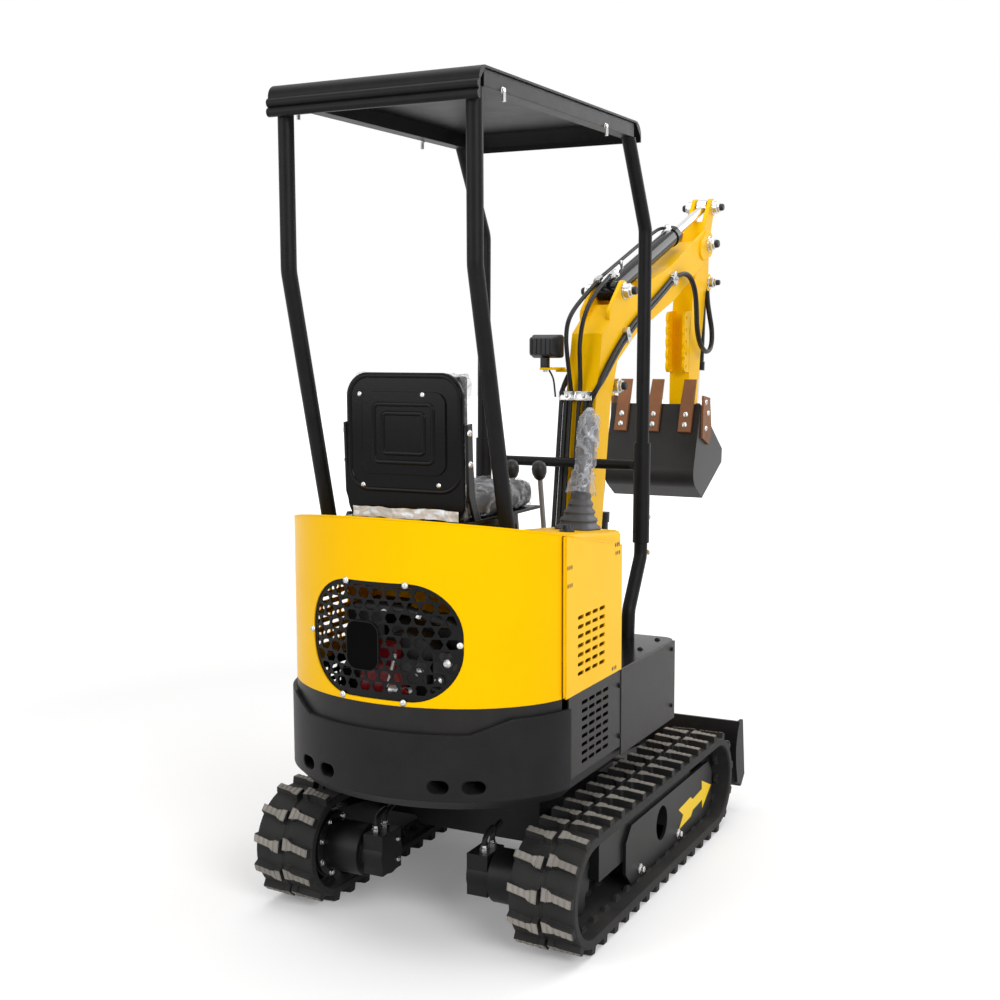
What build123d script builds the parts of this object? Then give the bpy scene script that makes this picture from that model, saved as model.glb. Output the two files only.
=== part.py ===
from build123d import *
import os
from math import cos, hypot, pi, sin

# Mini excavator. Millimetres, +X forward, +Y left, +Z up.
# The origin is on the ground below the middle of the slew ring.

# Tracks and the wheels inside them
track_width = 180
track_center_y = 384
sprocket_x = -460
idler_x = 510
wheel_z = 160
belt_outer_radius = 140
belt_inner_radius = 117
link_count = 37
lug_sink = 3
lug_trim_on_bends = 2
wheel_gap = 1.5
sprocket_width = 40
sprocket_teeth = 11
idler_width = 60
idler_axle_radius = 16
roller_radius = 38
roller_width = 66
roller_axle_radius = 12
roller_count = 2
roller_pitch = 311
roller_middle_x = 95.5
fit_gap = 0.3
running_fit = 0.05

# Track frames, car body and slew ring
frame_width = 100
frame_wall = 10
frame_bottom_z = 74
frame_top_z = 258
frame_rear_x = -330
frame_front_x = 385
frame_bevel = 60
yoke_height = 60
skirt_rear_x = -165
skirt_front_x = 565
skirt_bottom_z = 54
skirt_top_z = 222
skirt_bevel = 40
frame_hole = (113, 153)
frame_hole_width = 90
frame_hole_height = 100
frame_hole_depth = 40
motor_radius = 70
motor_inner_y = 128
motor_plate = 16
body_half_width = 210
body_rear_x = -240
body_front_x = 290
body_bottom_z = 170
body_top_z = 335
beam_length = 110
beam_height = 86
ring_radius = 200
ring_height = 35
deck_gap = 0.5

# Blade and its linkage, side view points are (x, z)
blade_pivot = (330, 230)
blade_half_width = 470
blade_thickness = 10
blade_bottom_z = 80
blade_top_z = 300
blade_back_x = 704
blade_hollow = 34
blade_arm_y = 215
blade_arm_width = 50
blade_arm_height = 56
blade_pin_radius = 16
blade_cylinder_base = (345, 310)
blade_cylinder_eye = (650, 300)

# House outline: straight sides, half ellipse at the tail
house_half_width = 401
tail_center_x = -414
tail_depth = 314
tail_limit_x = -900
sheet = 4
seam_x = -489
seam_gap = 1
cover_front_x = -126
cover_bottom_z = 655
top_at_slew_axis = 971
top_slope = 0.2
hood_thickness = 5
deck_bottom_z = 410
deck_top_z = 440
deck_inset = 14
floor_z = 650
floor_thickness = 6
floor_front_x = 310
front_panel_x = 300
front_flange = 190
weight_proud = 12
weight_inset = 46
weight_bottom_z = 400
weight_ledge_z = 560
weight_top_z = 592
weight_corner_z = 628
weight_front_x = -470
weight_bevel = 26
weight_hole_z = 462

# Canopy, seat and controls
post_radius = 20
sleeve_radius = 25
post_bend_radius = 90
rear_post_y = 261
front_post_y = 269
roof_half_width = 290
roof_rear_x = -735
roof_front_x = 275
roof_top_z = 2160
roof_drop = 78
roof_sheet = 6
roof_rib = 22
roof_rib_bulge = 9
roof_roll = 40
rail_height = 40
handlebar_z = 1160
handlebar_radius = 15
handlebar_offset = 37
handlebar_bend = 50
seat_back_x = -585
seat_width = 356
seat_top_z = 1462
seat_corner = 62
seat_shell = 8
seat_emboss = 5
seat_emboss_border = 48
stick_x = -205
stick_y = 305
boot_height = 96
boot_pleats = 5

# Boom, arm and bucket pins in the side view (x, z)
boom_foot = (470, 720)
boom_tip = (1590, 1900)
boom_cylinder_base = (620, 500)
boom_cylinder_eye = (690, 1390)
arm_cylinder_base = (745, 1700)
arm_cylinder_eye = (1690, 2045)
bucket_pin = (1480, 1125)
bucket_cylinder_base = (1655, 1757)
rocker_pin = (1501, 1273)
rocker_eye = (1600, 1117)
bucket_link_pin = (1436, 1022)
pin_radius = 20
small_pin_radius = 14
boom_half_width = 52
eye_pocket_half = 23
eye_pocket_radius = 56
arm_half_width = 38
fork_gap = 5.5
ear_thickness = 12
bucket_half_width = 170
bucket_plate = 9
tooth_width = 46
tooth_pitch = 122
boom_rear_low = (508, 1330)
boom_rear_high = (560, 1560)
hose_radius = 7
hose_stand = 1.2
hose_pitch = 16
hose_bend = 90
clamp_height = 24
clamp_length = 32

os.makedirs("parts", exist_ok=True)


def side(y):
    """Plane at the given y with sketch coordinates x and z, facing the right side."""
    return Plane(origin=(0, y, 0), x_dir=(1, 0, 0), z_dir=(0, -1, 0))


def save(part, name):
    part.label = name
    export_step(part, f"parts/{name}.step")


def bar(center, y_from, y_to, radius, mode=Mode.ADD):
    """Round bar along Y through a point of the side view."""
    middle = (center[0], (y_from + y_to) / 2, center[1])
    with Locations(Location(middle, (90, 0, 0))):
        Cylinder(radius, abs(y_to - y_from), mode=mode)


def plate(points, y_from, y_to, mode=Mode.ADD):
    """Flat plate with straight edges in the side view."""
    with BuildSketch(side(max(y_from, y_to))) as outline:
        Polygon(*points, align=None)
    extrude(outline.sketch, amount=abs(y_to - y_from), mode=mode)


def ear(circles, y_from, y_to, mode=Mode.ADD):
    """Plate wrapped round circles given as ((x, z), radius)."""
    with BuildSketch(side(max(y_from, y_to))) as outline:
        for center, radius in circles:
            with Locations(center):
                Circle(radius)
        make_hull()
    extrude(outline.sketch, amount=abs(y_to - y_from), mode=mode)


def ear_pair(circles, inner_y, outer_y, mode=Mode.ADD):
    ear(circles, inner_y, outer_y, mode)
    ear(circles, -outer_y, -inner_y, mode)


def block(x_from, x_to, y_from, y_to, z_from, z_to, mode=Mode.ADD):
    middle = ((x_from + x_to) / 2, (y_from + y_to) / 2, (z_from + z_to) / 2)
    with Locations(middle):
        Box(abs(x_to - x_from), abs(y_to - y_from), abs(z_to - z_from), mode=mode)


def tube(points, bend_radius, radius, mode=Mode.ADD):
    """Round tube along straight runs joined by tangent bends."""
    with BuildLine() as path:
        if len(points) > 2:
            FilletPolyline(*points, radius=bend_radius)
        else:
            Line(*points)
    with BuildSketch(Plane(origin=path.line @ 0, z_dir=path.line % 0)) as section:
        Circle(radius)
    sweep(section.sketch, path=path.line, mode=mode)


def along(start, end):
    """Plane at a pin of the side view, looking towards another pin."""
    direction = (end[0] - start[0], 0, end[1] - start[1])
    return Plane(origin=(start[0], 0, start[1]), x_dir=(0, 1, 0), z_dir=direction)


def between(start, end, distance):
    """Point of the side view at a distance from start towards end."""
    length = hypot(end[0] - start[0], end[1] - start[1])
    share = distance / length
    return (start[0] + share * (end[0] - start[0]), start[1] + share * (end[1] - start[1]))


def house_outline(inset, mode=Mode.ADD):
    """Tail ellipse and straight sides, drawn in the current sketch."""
    with Locations((tail_center_x, 0)):
        Ellipse(tail_depth - inset, house_half_width - inset, mode=mode)
        Rectangle(
            1000, 2 * (house_half_width - inset), align=(Align.MIN, Align.CENTER), mode=mode
        )


def house_ring(outer_inset, inner_inset, x_from, x_to):
    """Wall between two insets of the house outline, kept from x_from to x_to."""
    with BuildSketch() as ring:
        house_outline(outer_inset)
        house_outline(inner_inset, Mode.SUBTRACT)
        with Locations((x_from, 0)):
            Rectangle(
                x_to - x_from, 4 * house_half_width, align=(Align.MIN, Align.CENTER), mode=Mode.INTERSECT
            )
    return ring.sketch


def house_plate(inset, x_from, x_to):
    """Plate of the house outline, kept from x_from to x_to."""
    with BuildSketch() as slab:
        house_outline(inset)
        with Locations((x_from, 0)):
            Rectangle(
                x_to - x_from, 4 * house_half_width, align=(Align.MIN, Align.CENTER), mode=Mode.INTERSECT
            )
    return slab.sketch


def lifted(sketch, z):
    return sketch.moved(Location((0, 0, z)))


def top_plane(drop):
    """Sloping plane of the hood, lowered by a drop."""
    return Plane(origin=(0, 0, top_at_slew_axis - drop), z_dir=(top_slope, 0, 1))


def top_height(x):
    return top_at_slew_axis - top_slope * x


# Tracks
straight = idler_x - sprocket_x
loop_length = 2 * straight + 2 * pi * belt_outer_radius
lug_pitch = loop_length / link_count


def loop_plane(distance):
    """Plane on the outside of the belt at a distance along the loop, and whether it is on a bend."""
    bend = pi * belt_outer_radius
    distance = distance % loop_length
    if distance < straight:
        return (idler_x - distance, wheel_z - belt_outer_radius, -pi / 2, False)
    distance -= straight
    if distance < bend:
        angle = -pi / 2 - distance / belt_outer_radius
        return (
            sprocket_x + belt_outer_radius * cos(angle),
            wheel_z + belt_outer_radius * sin(angle),
            angle,
            True,
        )
    distance -= bend
    if distance < straight:
        return (sprocket_x + distance, wheel_z + belt_outer_radius, pi / 2, False)
    distance -= straight
    angle = pi / 2 - distance / belt_outer_radius
    return (
        idler_x + belt_outer_radius * cos(angle),
        wheel_z + belt_outer_radius * sin(angle),
        angle,
        True,
    )


def stadium(radius):
    """Loop of two half circles and two straights, drawn in the current sketch."""
    with Locations((sprocket_x, wheel_z), (idler_x, wheel_z)):
        Circle(radius)
    make_hull()


lug_height = wheel_z - belt_outer_radius
lug_root = 5
lug_end = track_width / 2 - 2
lug_outline = [
    (lug_root, -12),
    (lug_root, 24),
    (lug_end, 2),
    (lug_end, -20),
    (32, -7),
]

with BuildPart() as track_left:
    with BuildSketch(side(track_center_y + track_width / 2)) as belt:
        with BuildSketch(mode=Mode.PRIVATE) as hollow:
            stadium(belt_inner_radius)
        stadium(belt_outer_radius)
        add(hollow.sketch, mode=Mode.SUBTRACT)
    extrude(amount=track_width)
    for link in range(link_count):
        x, z, angle, bent = loop_plane(link * lug_pitch)
        outward = (cos(angle), 0, sin(angle))
        for row in (1, -1):
            foot = Plane(
                origin=(x - lug_sink * outward[0], track_center_y, z - lug_sink * outward[2]),
                x_dir=(0, row, 0),
                z_dir=outward,
            )
            with BuildSketch(foot) as lug:
                Polygon(*lug_outline, align=None)
            extrude(lug.sketch, amount=lug_height + lug_sink - (lug_trim_on_bends if bent else 0))
save(track_left.part, "track_left")

with BuildPart() as track_right:
    add(track_left.part.moved(Location((0, -2 * track_center_y, 0))))
save(track_right.part, "track_right")

# Sprocket, idler and rollers of each track
frame_inner_y = track_center_y - frame_width / 2
frame_outer_y = track_center_y + frame_width / 2
roller_z = wheel_z - belt_inner_radius + fit_gap + roller_radius
roller_xs = [roller_middle_x + (i - (roller_count - 1) / 2) * roller_pitch for i in range(roller_count)]
wheel_radius = belt_inner_radius - wheel_gap

for name, sign in (("left", 1), ("right", -1)):
    with BuildPart() as track_wheels:
        middle = sign * track_center_y
        bar((sprocket_x, wheel_z), middle - sprocket_width / 2, middle + sprocket_width / 2, wheel_radius)
        with Locations(Location((sprocket_x, middle, wheel_z), (90, 0, 0))):
            with PolarLocations(wheel_radius + 4, sprocket_teeth):
                Cylinder(17, sprocket_width, mode=Mode.SUBTRACT)
        bar((idler_x, wheel_z), middle - idler_width / 2, middle + idler_width / 2, wheel_radius - 2)
        bar((idler_x, wheel_z), middle - frame_width / 2, middle + frame_width / 2, idler_axle_radius)
        for x in roller_xs:
            bar((x, roller_z), middle - roller_width / 2, middle + roller_width / 2, roller_radius)
            bar((x, roller_z), middle - frame_width / 2, middle + frame_width / 2, roller_axle_radius)
    save(track_wheels.part, f"track_wheels_{name}")

    with BuildPart() as track_frame:
        inner = sign * frame_inner_y
        outer = sign * frame_outer_y
        beam = [
            (frame_rear_x, frame_bottom_z + frame_bevel),
            (frame_rear_x + frame_bevel, frame_bottom_z),
            (frame_front_x - frame_bevel, frame_bottom_z),
            (frame_front_x, frame_bottom_z + frame_bevel),
            (frame_front_x, frame_top_z - frame_bevel / 2),
            (frame_front_x - frame_bevel, frame_top_z),
            (frame_rear_x + frame_bevel, frame_top_z),
            (frame_rear_x, frame_top_z - frame_bevel / 2),
        ]
        skirt = [
            (skirt_rear_x, skirt_bottom_z + skirt_bevel),
            (skirt_rear_x + skirt_bevel, skirt_bottom_z),
            (skirt_front_x - skirt_bevel, skirt_bottom_z),
            (skirt_front_x, skirt_bottom_z + skirt_bevel),
            (skirt_front_x, skirt_top_z - skirt_bevel),
            (skirt_front_x - skirt_bevel, skirt_top_z),
            (skirt_rear_x + skirt_bevel, skirt_top_z),
            (skirt_rear_x, skirt_top_z - skirt_bevel),
        ]
        plate(beam, inner, outer - sign * frame_wall)
        plate(skirt, outer - sign * frame_wall, outer)
        with BuildSketch(side(outer if sign > 0 else outer + frame_hole_depth)) as window:
            with Locations(frame_hole):
                Ellipse(frame_hole_width / 2, frame_hole_height / 2)
        extrude(window.sketch, amount=frame_hole_depth, mode=Mode.SUBTRACT)
        block(
            frame_rear_x - 10,
            frame_front_x + 10,
            inner + sign * frame_wall,
            outer - sign * frame_wall,
            frame_bottom_z - 10,
            roller_z + roller_radius + 12,
            mode=Mode.SUBTRACT,
        )
        for wall in (inner, outer - sign * frame_wall):
            block(
                frame_front_x - frame_bevel,
                idler_x + yoke_height / 2,
                wall,
                wall + sign * frame_wall,
                wheel_z - yoke_height / 2,
                wheel_z + yoke_height / 2,
            )
        through = (inner - 20 * sign, outer + 20 * sign)
        bar((idler_x, wheel_z), *through, idler_axle_radius + fit_gap, Mode.SUBTRACT)
        for x in roller_xs:
            bar((x, roller_z), *through, roller_axle_radius + fit_gap, Mode.SUBTRACT)
        carrier_y = inner - sign * motor_plate
        carrier = [((sprocket_x, wheel_z), motor_radius + 22), ((frame_rear_x + 60, wheel_z), 66)]
        ear(carrier, carrier_y, inner)
        bar((sprocket_x, wheel_z), carrier_y - sign, inner + sign, motor_radius + fit_gap, Mode.SUBTRACT)
    save(track_frame.part, f"track_frame_{name}")

with BuildPart() as travel_motors:
    for sign in (1, -1):
        motor_end = track_center_y - sprocket_width / 2
        center = (sprocket_x, wheel_z)
        bar(center, sign * (motor_inner_y + 70), sign * motor_end, motor_radius)
        bar(center, sign * motor_inner_y, sign * (motor_inner_y + 74), motor_radius - 18)
        block(
            sprocket_x - 48,
            sprocket_x + 48,
            sign * motor_inner_y,
            sign * (motor_inner_y + 60),
            wheel_z - 48,
            wheel_z + 62,
        )
save(travel_motors.part, "travel_motors")

with BuildPart() as car_body:
    block(body_rear_x, body_front_x, -body_half_width, body_half_width, body_bottom_z, body_top_z)
    chamfer(car_body.edges().filter_by(Axis.X), 50)
    beam_y = frame_inner_y
    for x in (body_rear_x + beam_length, body_front_x - beam_length / 2):
        half = beam_length / 2
        block(x - half, x + half, -beam_y, beam_y, body_bottom_z, body_bottom_z + beam_height)
    with Locations((0, 0, body_top_z)):
        Cylinder(ring_radius + 14, 12, align=(Align.CENTER, Align.CENTER, Align.MAX))
    for y in (-blade_arm_y, blade_arm_y):
        inner = blade_arm_width / 2 + 5
        for near, far in ((y - inner - 14, y - inner), (y + inner, y + inner + 14)):
            ear([(blade_pivot, 32), ((body_front_x - 60, blade_pivot[1]), 44)], near, far)
    ear_pair([(blade_cylinder_base, 26), ((body_front_x - 40, blade_cylinder_base[1] - 20), 34)], 28, 40)
    for y in (-blade_arm_y, blade_arm_y):
        bar(blade_pivot, y - 46, y + 46, blade_pin_radius)
    bar(blade_cylinder_base, -46, 46, small_pin_radius)
save(car_body.part, "car_body")

with BuildPart() as slew_ring:
    with Locations((0, 0, body_top_z)):
        standing = (Align.CENTER, Align.CENTER, Align.MIN)
        Cylinder(ring_radius, ring_height, align=standing)
        Cylinder(ring_radius - 60, ring_height, align=standing, mode=Mode.SUBTRACT)
save(slew_ring.part, "slew_ring")

# Dozer blade
blade_middle_z = (blade_bottom_z + blade_top_z) / 2
with BuildPart() as blade:
    with BuildSketch(side(blade_half_width)):
        with BuildLine():
            top = (blade_back_x + blade_hollow, blade_top_z)
            bottom = (blade_back_x + blade_hollow + 16, blade_bottom_z)
            back = ThreePointArc(top, (blade_back_x, blade_middle_z), bottom)
            edge = Line(bottom, (bottom[0] + blade_thickness + 4, blade_bottom_z))
            front = ThreePointArc(
                edge @ 1,
                (blade_back_x + blade_thickness, blade_middle_z),
                (top[0] + blade_thickness, blade_top_z),
            )
            Line(front @ 1, top)
        make_face()
    extrude(amount=2 * blade_half_width)
    cheek = [
        (blade_back_x, blade_middle_z),
        (blade_back_x + 20, blade_bottom_z + 20),
        (blade_back_x + 62, blade_bottom_z),
        (blade_back_x + 96, blade_bottom_z + 30),
        (blade_back_x + 70, blade_top_z),
        (blade_back_x + blade_hollow, blade_top_z),
    ]
    for y in (-blade_half_width, blade_half_width - blade_thickness):
        plate(cheek, y, y + blade_thickness)
    arm_end_x = blade_back_x + 4
    for y in (-blade_arm_y, blade_arm_y):
        half = blade_arm_width / 2
        ends = [(blade_pivot, blade_arm_height / 2), ((arm_end_x, blade_middle_z), blade_arm_height / 2)]
        ear(ends, y - half, y + half)
        bar(blade_pivot, y - half - 1, y + half + 1, blade_pin_radius + running_fit, Mode.SUBTRACT)
    block(arm_end_x - 70, arm_end_x - 10, -blade_arm_y, blade_arm_y, blade_middle_z - 24, blade_middle_z + 24)
    lug_foot = (arm_end_x - 36, blade_middle_z + 10)
    ear_pair([(blade_cylinder_eye, 24), (lug_foot, 26)], 24, 36)
    for sign in (1, -1):
        bar(blade_cylinder_eye, sign * 24, sign * 42, small_pin_radius)
save(blade.part, "blade")


def cylinder_barrel(name, base, eye, radius, rod_radius, length, pin, half_eye, floor):
    """Hydraulic barrel with a bored base eye, a gland ring and a bore for its rod."""
    with BuildPart() as barrel:
        with BuildSketch(along(base, eye)) as section:
            Circle(radius)
        extrude(section.sketch, amount=length)
        with BuildSketch(along(between(base, eye, length - 34), eye)) as gland:
            Circle(radius + 4)
        extrude(gland.sketch, amount=34)
        bar(base, -half_eye, half_eye, pin + 14)
        bar(base, -half_eye - 1, half_eye + 1, pin + running_fit, Mode.SUBTRACT)
        with BuildSketch(along(between(base, eye, floor), eye)) as bore:
            Circle(rod_radius + running_fit)
        extrude(bore.sketch, amount=length, mode=Mode.SUBTRACT)
        for y in (-half_eye - radius, half_eye):
            bar(base, y, y + radius, pin + 50, Mode.SUBTRACT)
    save(barrel.part, name)


def cylinder_rod(name, base, eye, rod_radius, start, pin, half_eye):
    """Chromed rod with a bored eye, set at its rest position."""
    with BuildPart() as rod:
        distance = hypot(eye[0] - base[0], eye[1] - base[1])
        with BuildSketch(along(between(base, eye, start), eye)) as section:
            Circle(rod_radius)
        extrude(section.sketch, amount=distance - start)
        bar(eye, -half_eye, half_eye, pin + 12)
        bar(eye, -half_eye - 1, half_eye + 1, pin + 1, Mode.SUBTRACT)
    save(rod.part, name)


cylinder_barrel(
    "blade_cylinder_barrel", blade_cylinder_base, blade_cylinder_eye, 28, 16, 220, small_pin_radius, 22, 36
)
cylinder_rod("blade_cylinder_rod", blade_cylinder_base, blade_cylinder_eye, 16, 110, small_pin_radius, 18)
cylinder_barrel("boom_cylinder_barrel", boom_cylinder_base, boom_cylinder_eye, 35, 20, 478, 18, 44, 36)
cylinder_rod("boom_cylinder_rod", boom_cylinder_base, boom_cylinder_eye, 20, 407, 18, 19)
cylinder_barrel("arm_cylinder_barrel", arm_cylinder_base, arm_cylinder_eye, 32, 17, 640, 18, 33, 44)
cylinder_rod("arm_cylinder_rod", arm_cylinder_base, arm_cylinder_eye, 17, 350, 18, 18)
cylinder_barrel("bucket_cylinder_barrel", bucket_cylinder_base, rocker_eye, 29, 16, 338, 14, 21, 38)
cylinder_rod("bucket_cylinder_rod", bucket_cylinder_base, rocker_eye, 16, 306, 14, 18)

# House: deck, counterweight and sheet panels
with BuildPart() as deck:
    tail = house_plate(deck_inset + weight_inset, tail_limit_x, weight_front_x)
    extrude(lifted(tail, deck_bottom_z), amount=deck_top_z - deck_bottom_z)
    middle = house_plate(deck_inset, weight_front_x, front_panel_x - sheet)
    extrude(lifted(middle, deck_bottom_z), amount=deck_top_z - deck_bottom_z)
    with Locations((0, 0, deck_bottom_z)):
        Cylinder(
            ring_radius - 6,
            deck_bottom_z - body_top_z - ring_height - deck_gap,
            align=(Align.CENTER, Align.CENTER, Align.MAX),
        )
save(deck.part, "deck")

with BuildPart() as counterweight:
    foot = house_plate(weight_bevel - weight_proud, tail_limit_x, weight_front_x)
    rim = house_plate(-weight_proud, tail_limit_x, weight_front_x)
    loft([lifted(foot, weight_bottom_z).face(), lifted(rim, weight_bottom_z + weight_bevel).face()])
    rim_z = weight_bottom_z + weight_bevel
    extrude(lifted(rim, rim_z), amount=weight_corner_z - rim_z)
    core = house_plate(weight_inset, tail_limit_x, 0)
    extrude(lifted(core, weight_bottom_z - 1), amount=weight_corner_z, mode=Mode.SUBTRACT)
    recess = house_plate(-fit_gap, tail_limit_x, 0)
    extrude(lifted(recess, weight_ledge_z), amount=weight_corner_z, mode=Mode.SUBTRACT)
    with BuildSketch(Plane.YZ.offset(tail_limit_x)) as dip:
        with BuildLine():
            Polyline(
                (-330, weight_corner_z + 5),
                (-230, weight_top_z),
                (230, weight_top_z),
                (330, weight_corner_z + 5),
                close=True,
            )
        make_face()
    extrude(dip.sketch, amount=500, mode=Mode.SUBTRACT)
    for y in (-240, -160, 160, 240):
        with BuildSketch(Plane.YZ.offset(tail_limit_x)) as hole:
            with Locations((y, weight_hole_z)):
                SlotOverall(52, 34)
        extrude(hole.sketch, amount=900 + weight_front_x - 20, mode=Mode.SUBTRACT)
save(counterweight.part, "counterweight")

with BuildPart() as rear_band:
    wall = house_ring(0, sheet, tail_limit_x, seam_x)
    extrude(lifted(wall, weight_ledge_z), amount=cover_bottom_z - weight_ledge_z)
save(rear_band.part, "rear_band")

grille_center_z = 812
grille_width = 432
grille_height = 292
grille_corner = 130
grille_pitch = 38
grille_row = 29
grille_web = 4.5
with BuildPart() as rear_cover:
    wall = house_ring(0, sheet, tail_limit_x, seam_x)
    extrude(lifted(wall, cover_bottom_z), amount=600)
    split(bisect_by=top_plane(hood_thickness), keep=Keep.BOTTOM)
    with BuildSketch(Plane.YZ.offset(tail_limit_x)) as opening:
        with Locations((0, grille_center_z)):
            RectangleRounded(grille_width, grille_height, grille_corner)
    extrude(opening.sketch, amount=300, mode=Mode.SUBTRACT)
save(rear_cover.part, "rear_cover")

hole_half = (grille_pitch - grille_web) / 2
hole_rise = (grille_row - grille_web) / 2
mesh_hole = [
    (hole_half, 0),
    (hole_half - 7, hole_rise),
    (7 - hole_half, hole_rise),
    (-hole_half, 0),
    (7 - hole_half, -hole_rise),
    (hole_half - 7, -hole_rise),
]
with BuildPart() as grille:
    wall = house_ring(sheet + fit_gap, sheet + fit_gap + 3, tail_limit_x, seam_x)
    extrude(lifted(wall, 600), amount=400)
    with BuildSketch(Plane.YZ.offset(tail_limit_x)) as rim:
        with Locations((0, grille_center_z)):
            RectangleRounded(grille_width + 44, grille_height + 20, grille_corner)
    extrude(rim.sketch, amount=400, mode=Mode.INTERSECT)
    with BuildSketch(Plane.YZ.offset(tail_limit_x)) as holes:
        with Locations((0, grille_center_z)):
            with GridLocations(grille_pitch, 2 * grille_row, 11, 5):
                Polygon(*mesh_hole, align=None)
            with Locations((grille_pitch / 2, grille_row)):
                with GridLocations(grille_pitch, 2 * grille_row, 11, 5):
                    Polygon(*mesh_hole, align=None)
        with Locations((0, grille_center_z)):
            RectangleRounded(grille_width - 24, grille_height - 20, grille_corner - 12, mode=Mode.INTERSECT)
    extrude(holes.sketch, amount=400, mode=Mode.SUBTRACT)
save(grille.part, "grille")

with BuildPart() as hood:
    extrude(lifted(house_plate(0, tail_limit_x, cover_front_x), 900), amount=400)
    split(bisect_by=top_plane(0), keep=Keep.BOTTOM)
    split(bisect_by=top_plane(hood_thickness), keep=Keep.TOP)
save(hood.part, "hood")

louver_rows = 7
louver_columns = 4
for name, sign in (("left", 1), ("right", -1)):
    near = sign * (house_half_width - sheet)
    far = sign * house_half_width
    with BuildPart() as side_panel:
        block(seam_x + seam_gap, cover_front_x, near, far, cover_bottom_z, 1200)
        split(bisect_by=top_plane(hood_thickness), keep=Keep.BOTTOM)
        with BuildSketch(side(near + sign * 20 if sign > 0 else near + 20)) as louvers:
            with Locations((-330, 775)):
                with GridLocations(46, 24, louver_columns, louver_rows):
                    SlotOverall(38, 10)
        extrude(louvers.sketch, amount=60, mode=Mode.SUBTRACT)
    save(side_panel.part, f"side_panel_{name}")

    with BuildPart() as lower_panel:
        inner = near - sign * 2
        outer = far - sign * 2
        block(weight_front_x + seam_gap, cover_front_x, inner, outer, deck_top_z, cover_bottom_z)
        with BuildSketch(side(inner + sign * 20 if sign > 0 else inner + 20)) as louvers:
            with Locations((-300, 545)):
                with GridLocations(46, 22, louver_columns, louver_rows + 1):
                    SlotOverall(38, 10)
        extrude(louvers.sketch, amount=60, mode=Mode.SUBTRACT)
    save(lower_panel.part, f"lower_panel_{name}")

    with BuildPart() as front_panel:
        block(cover_front_x + seam_gap, front_panel_x, near, far, deck_bottom_z + 6, floor_z)
        flange_y = sign * (house_half_width - front_flange)
        block(front_panel_x - sheet, front_panel_x, flange_y, far, deck_bottom_z + 6, floor_z)
    save(front_panel.part, f"front_panel_{name}")

with BuildPart() as front_wall:
    wall_half = house_half_width - sheet
    block(cover_front_x - sheet, cover_front_x, -wall_half, wall_half, cover_bottom_z, 1200)
    split(bisect_by=top_plane(hood_thickness), keep=Keep.BOTTOM)
save(front_wall.part, "front_wall")

with BuildPart() as floor_plate:
    floor_top_z = floor_z + floor_thickness
    block(cover_front_x, floor_front_x, -house_half_width, house_half_width, floor_z, floor_top_z)
    fillet(floor_plate.edges().filter_by(Axis.Z).group_by(Axis.X)[-1], 40)
save(floor_plate.part, "floor_plate")

with BuildPart() as engine:
    block(-600, -330, -190, 190, deck_top_z, 700)
    block(-570, -380, -150, 60, 700, 820)
    with Locations(Location((-620, -30, 690), (0, 90, 0))):
        Cylinder(130, 60)
    block(-560, -420, 80, 190, 700, 860)
save(engine.part, "engine")

# Seat
with BuildPart() as seat_pan:
    with BuildSketch(Plane.YZ.offset(seat_back_x)) as back:
        with Locations((0, (1080 + seat_top_z) / 2)):
            RectangleRounded(seat_width - 20, seat_top_z - 1080, seat_corner)
    extrude(back.sketch, amount=seat_shell)
    with BuildSketch(Plane.YZ.offset(seat_back_x)) as panel:
        with Locations((0, (1160 + seat_top_z) / 2)):
            panel_width = seat_width - 20 - 2 * seat_emboss_border
            RectangleRounded(panel_width, seat_top_z - 1160 - 2 * seat_emboss_border, seat_corner / 2)
    extrude(panel.sketch, amount=-seat_emboss)
    block(seat_back_x, -170, -seat_width / 2, seat_width / 2, 1087, 1095)
    block(-560, -250, -150, 150, 1010, 1087)
    split(bisect_by=top_plane(0), keep=Keep.TOP)
save(seat_pan.part, "seat_pan")

with BuildPart() as seat_cushion:
    block(seat_back_x + 12, -165, -seat_width / 2, seat_width / 2, 1095.3, 1165)
    fillet(seat_cushion.edges(), 18)
save(seat_cushion.part, "seat_cushion")

with BuildPart() as seat_back:
    block(seat_back_x + 8.3, seat_back_x + 68, -seat_width / 2 + 8, seat_width / 2 - 8, 1166, seat_top_z + 6)
    fillet(seat_back.edges(), 20)
save(seat_back.part, "seat_back")

# Canopy
rail_bottom_z = roof_top_z - roof_sheet - rail_height
with BuildPart() as canopy_rear_posts:
    for sign in (1, -1):
        y = sign * rear_post_y
        tube(
            [
                (-534, y, top_height(-534)),
                (-694, y, 1712),
                (-694, y, rail_bottom_z),
            ],
            post_bend_radius,
            post_radius,
        )
    split(bisect_by=top_plane(0), keep=Keep.TOP)
save(canopy_rear_posts.part, "canopy_rear_posts")

with BuildPart() as canopy_front_posts:
    for sign in (1, -1):
        y = sign * front_post_y
        tube(
            [
                (249, y, floor_z - 20),
                (258, y, 738),
                (353, y, 890),
                (370, y, 1864),
                (218, y, rail_bottom_z + 20),
            ],
            50,
            post_radius,
        )
        tube([(354, y, 930), (359, y, 1232)], 0, sleeve_radius)
    split(bisect_by=Plane.XY.offset(rail_bottom_z), keep=Keep.BOTTOM)
    split(bisect_by=Plane.XY.offset(floor_z + floor_thickness), keep=Keep.TOP)
save(canopy_front_posts.part, "canopy_front_posts")

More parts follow.
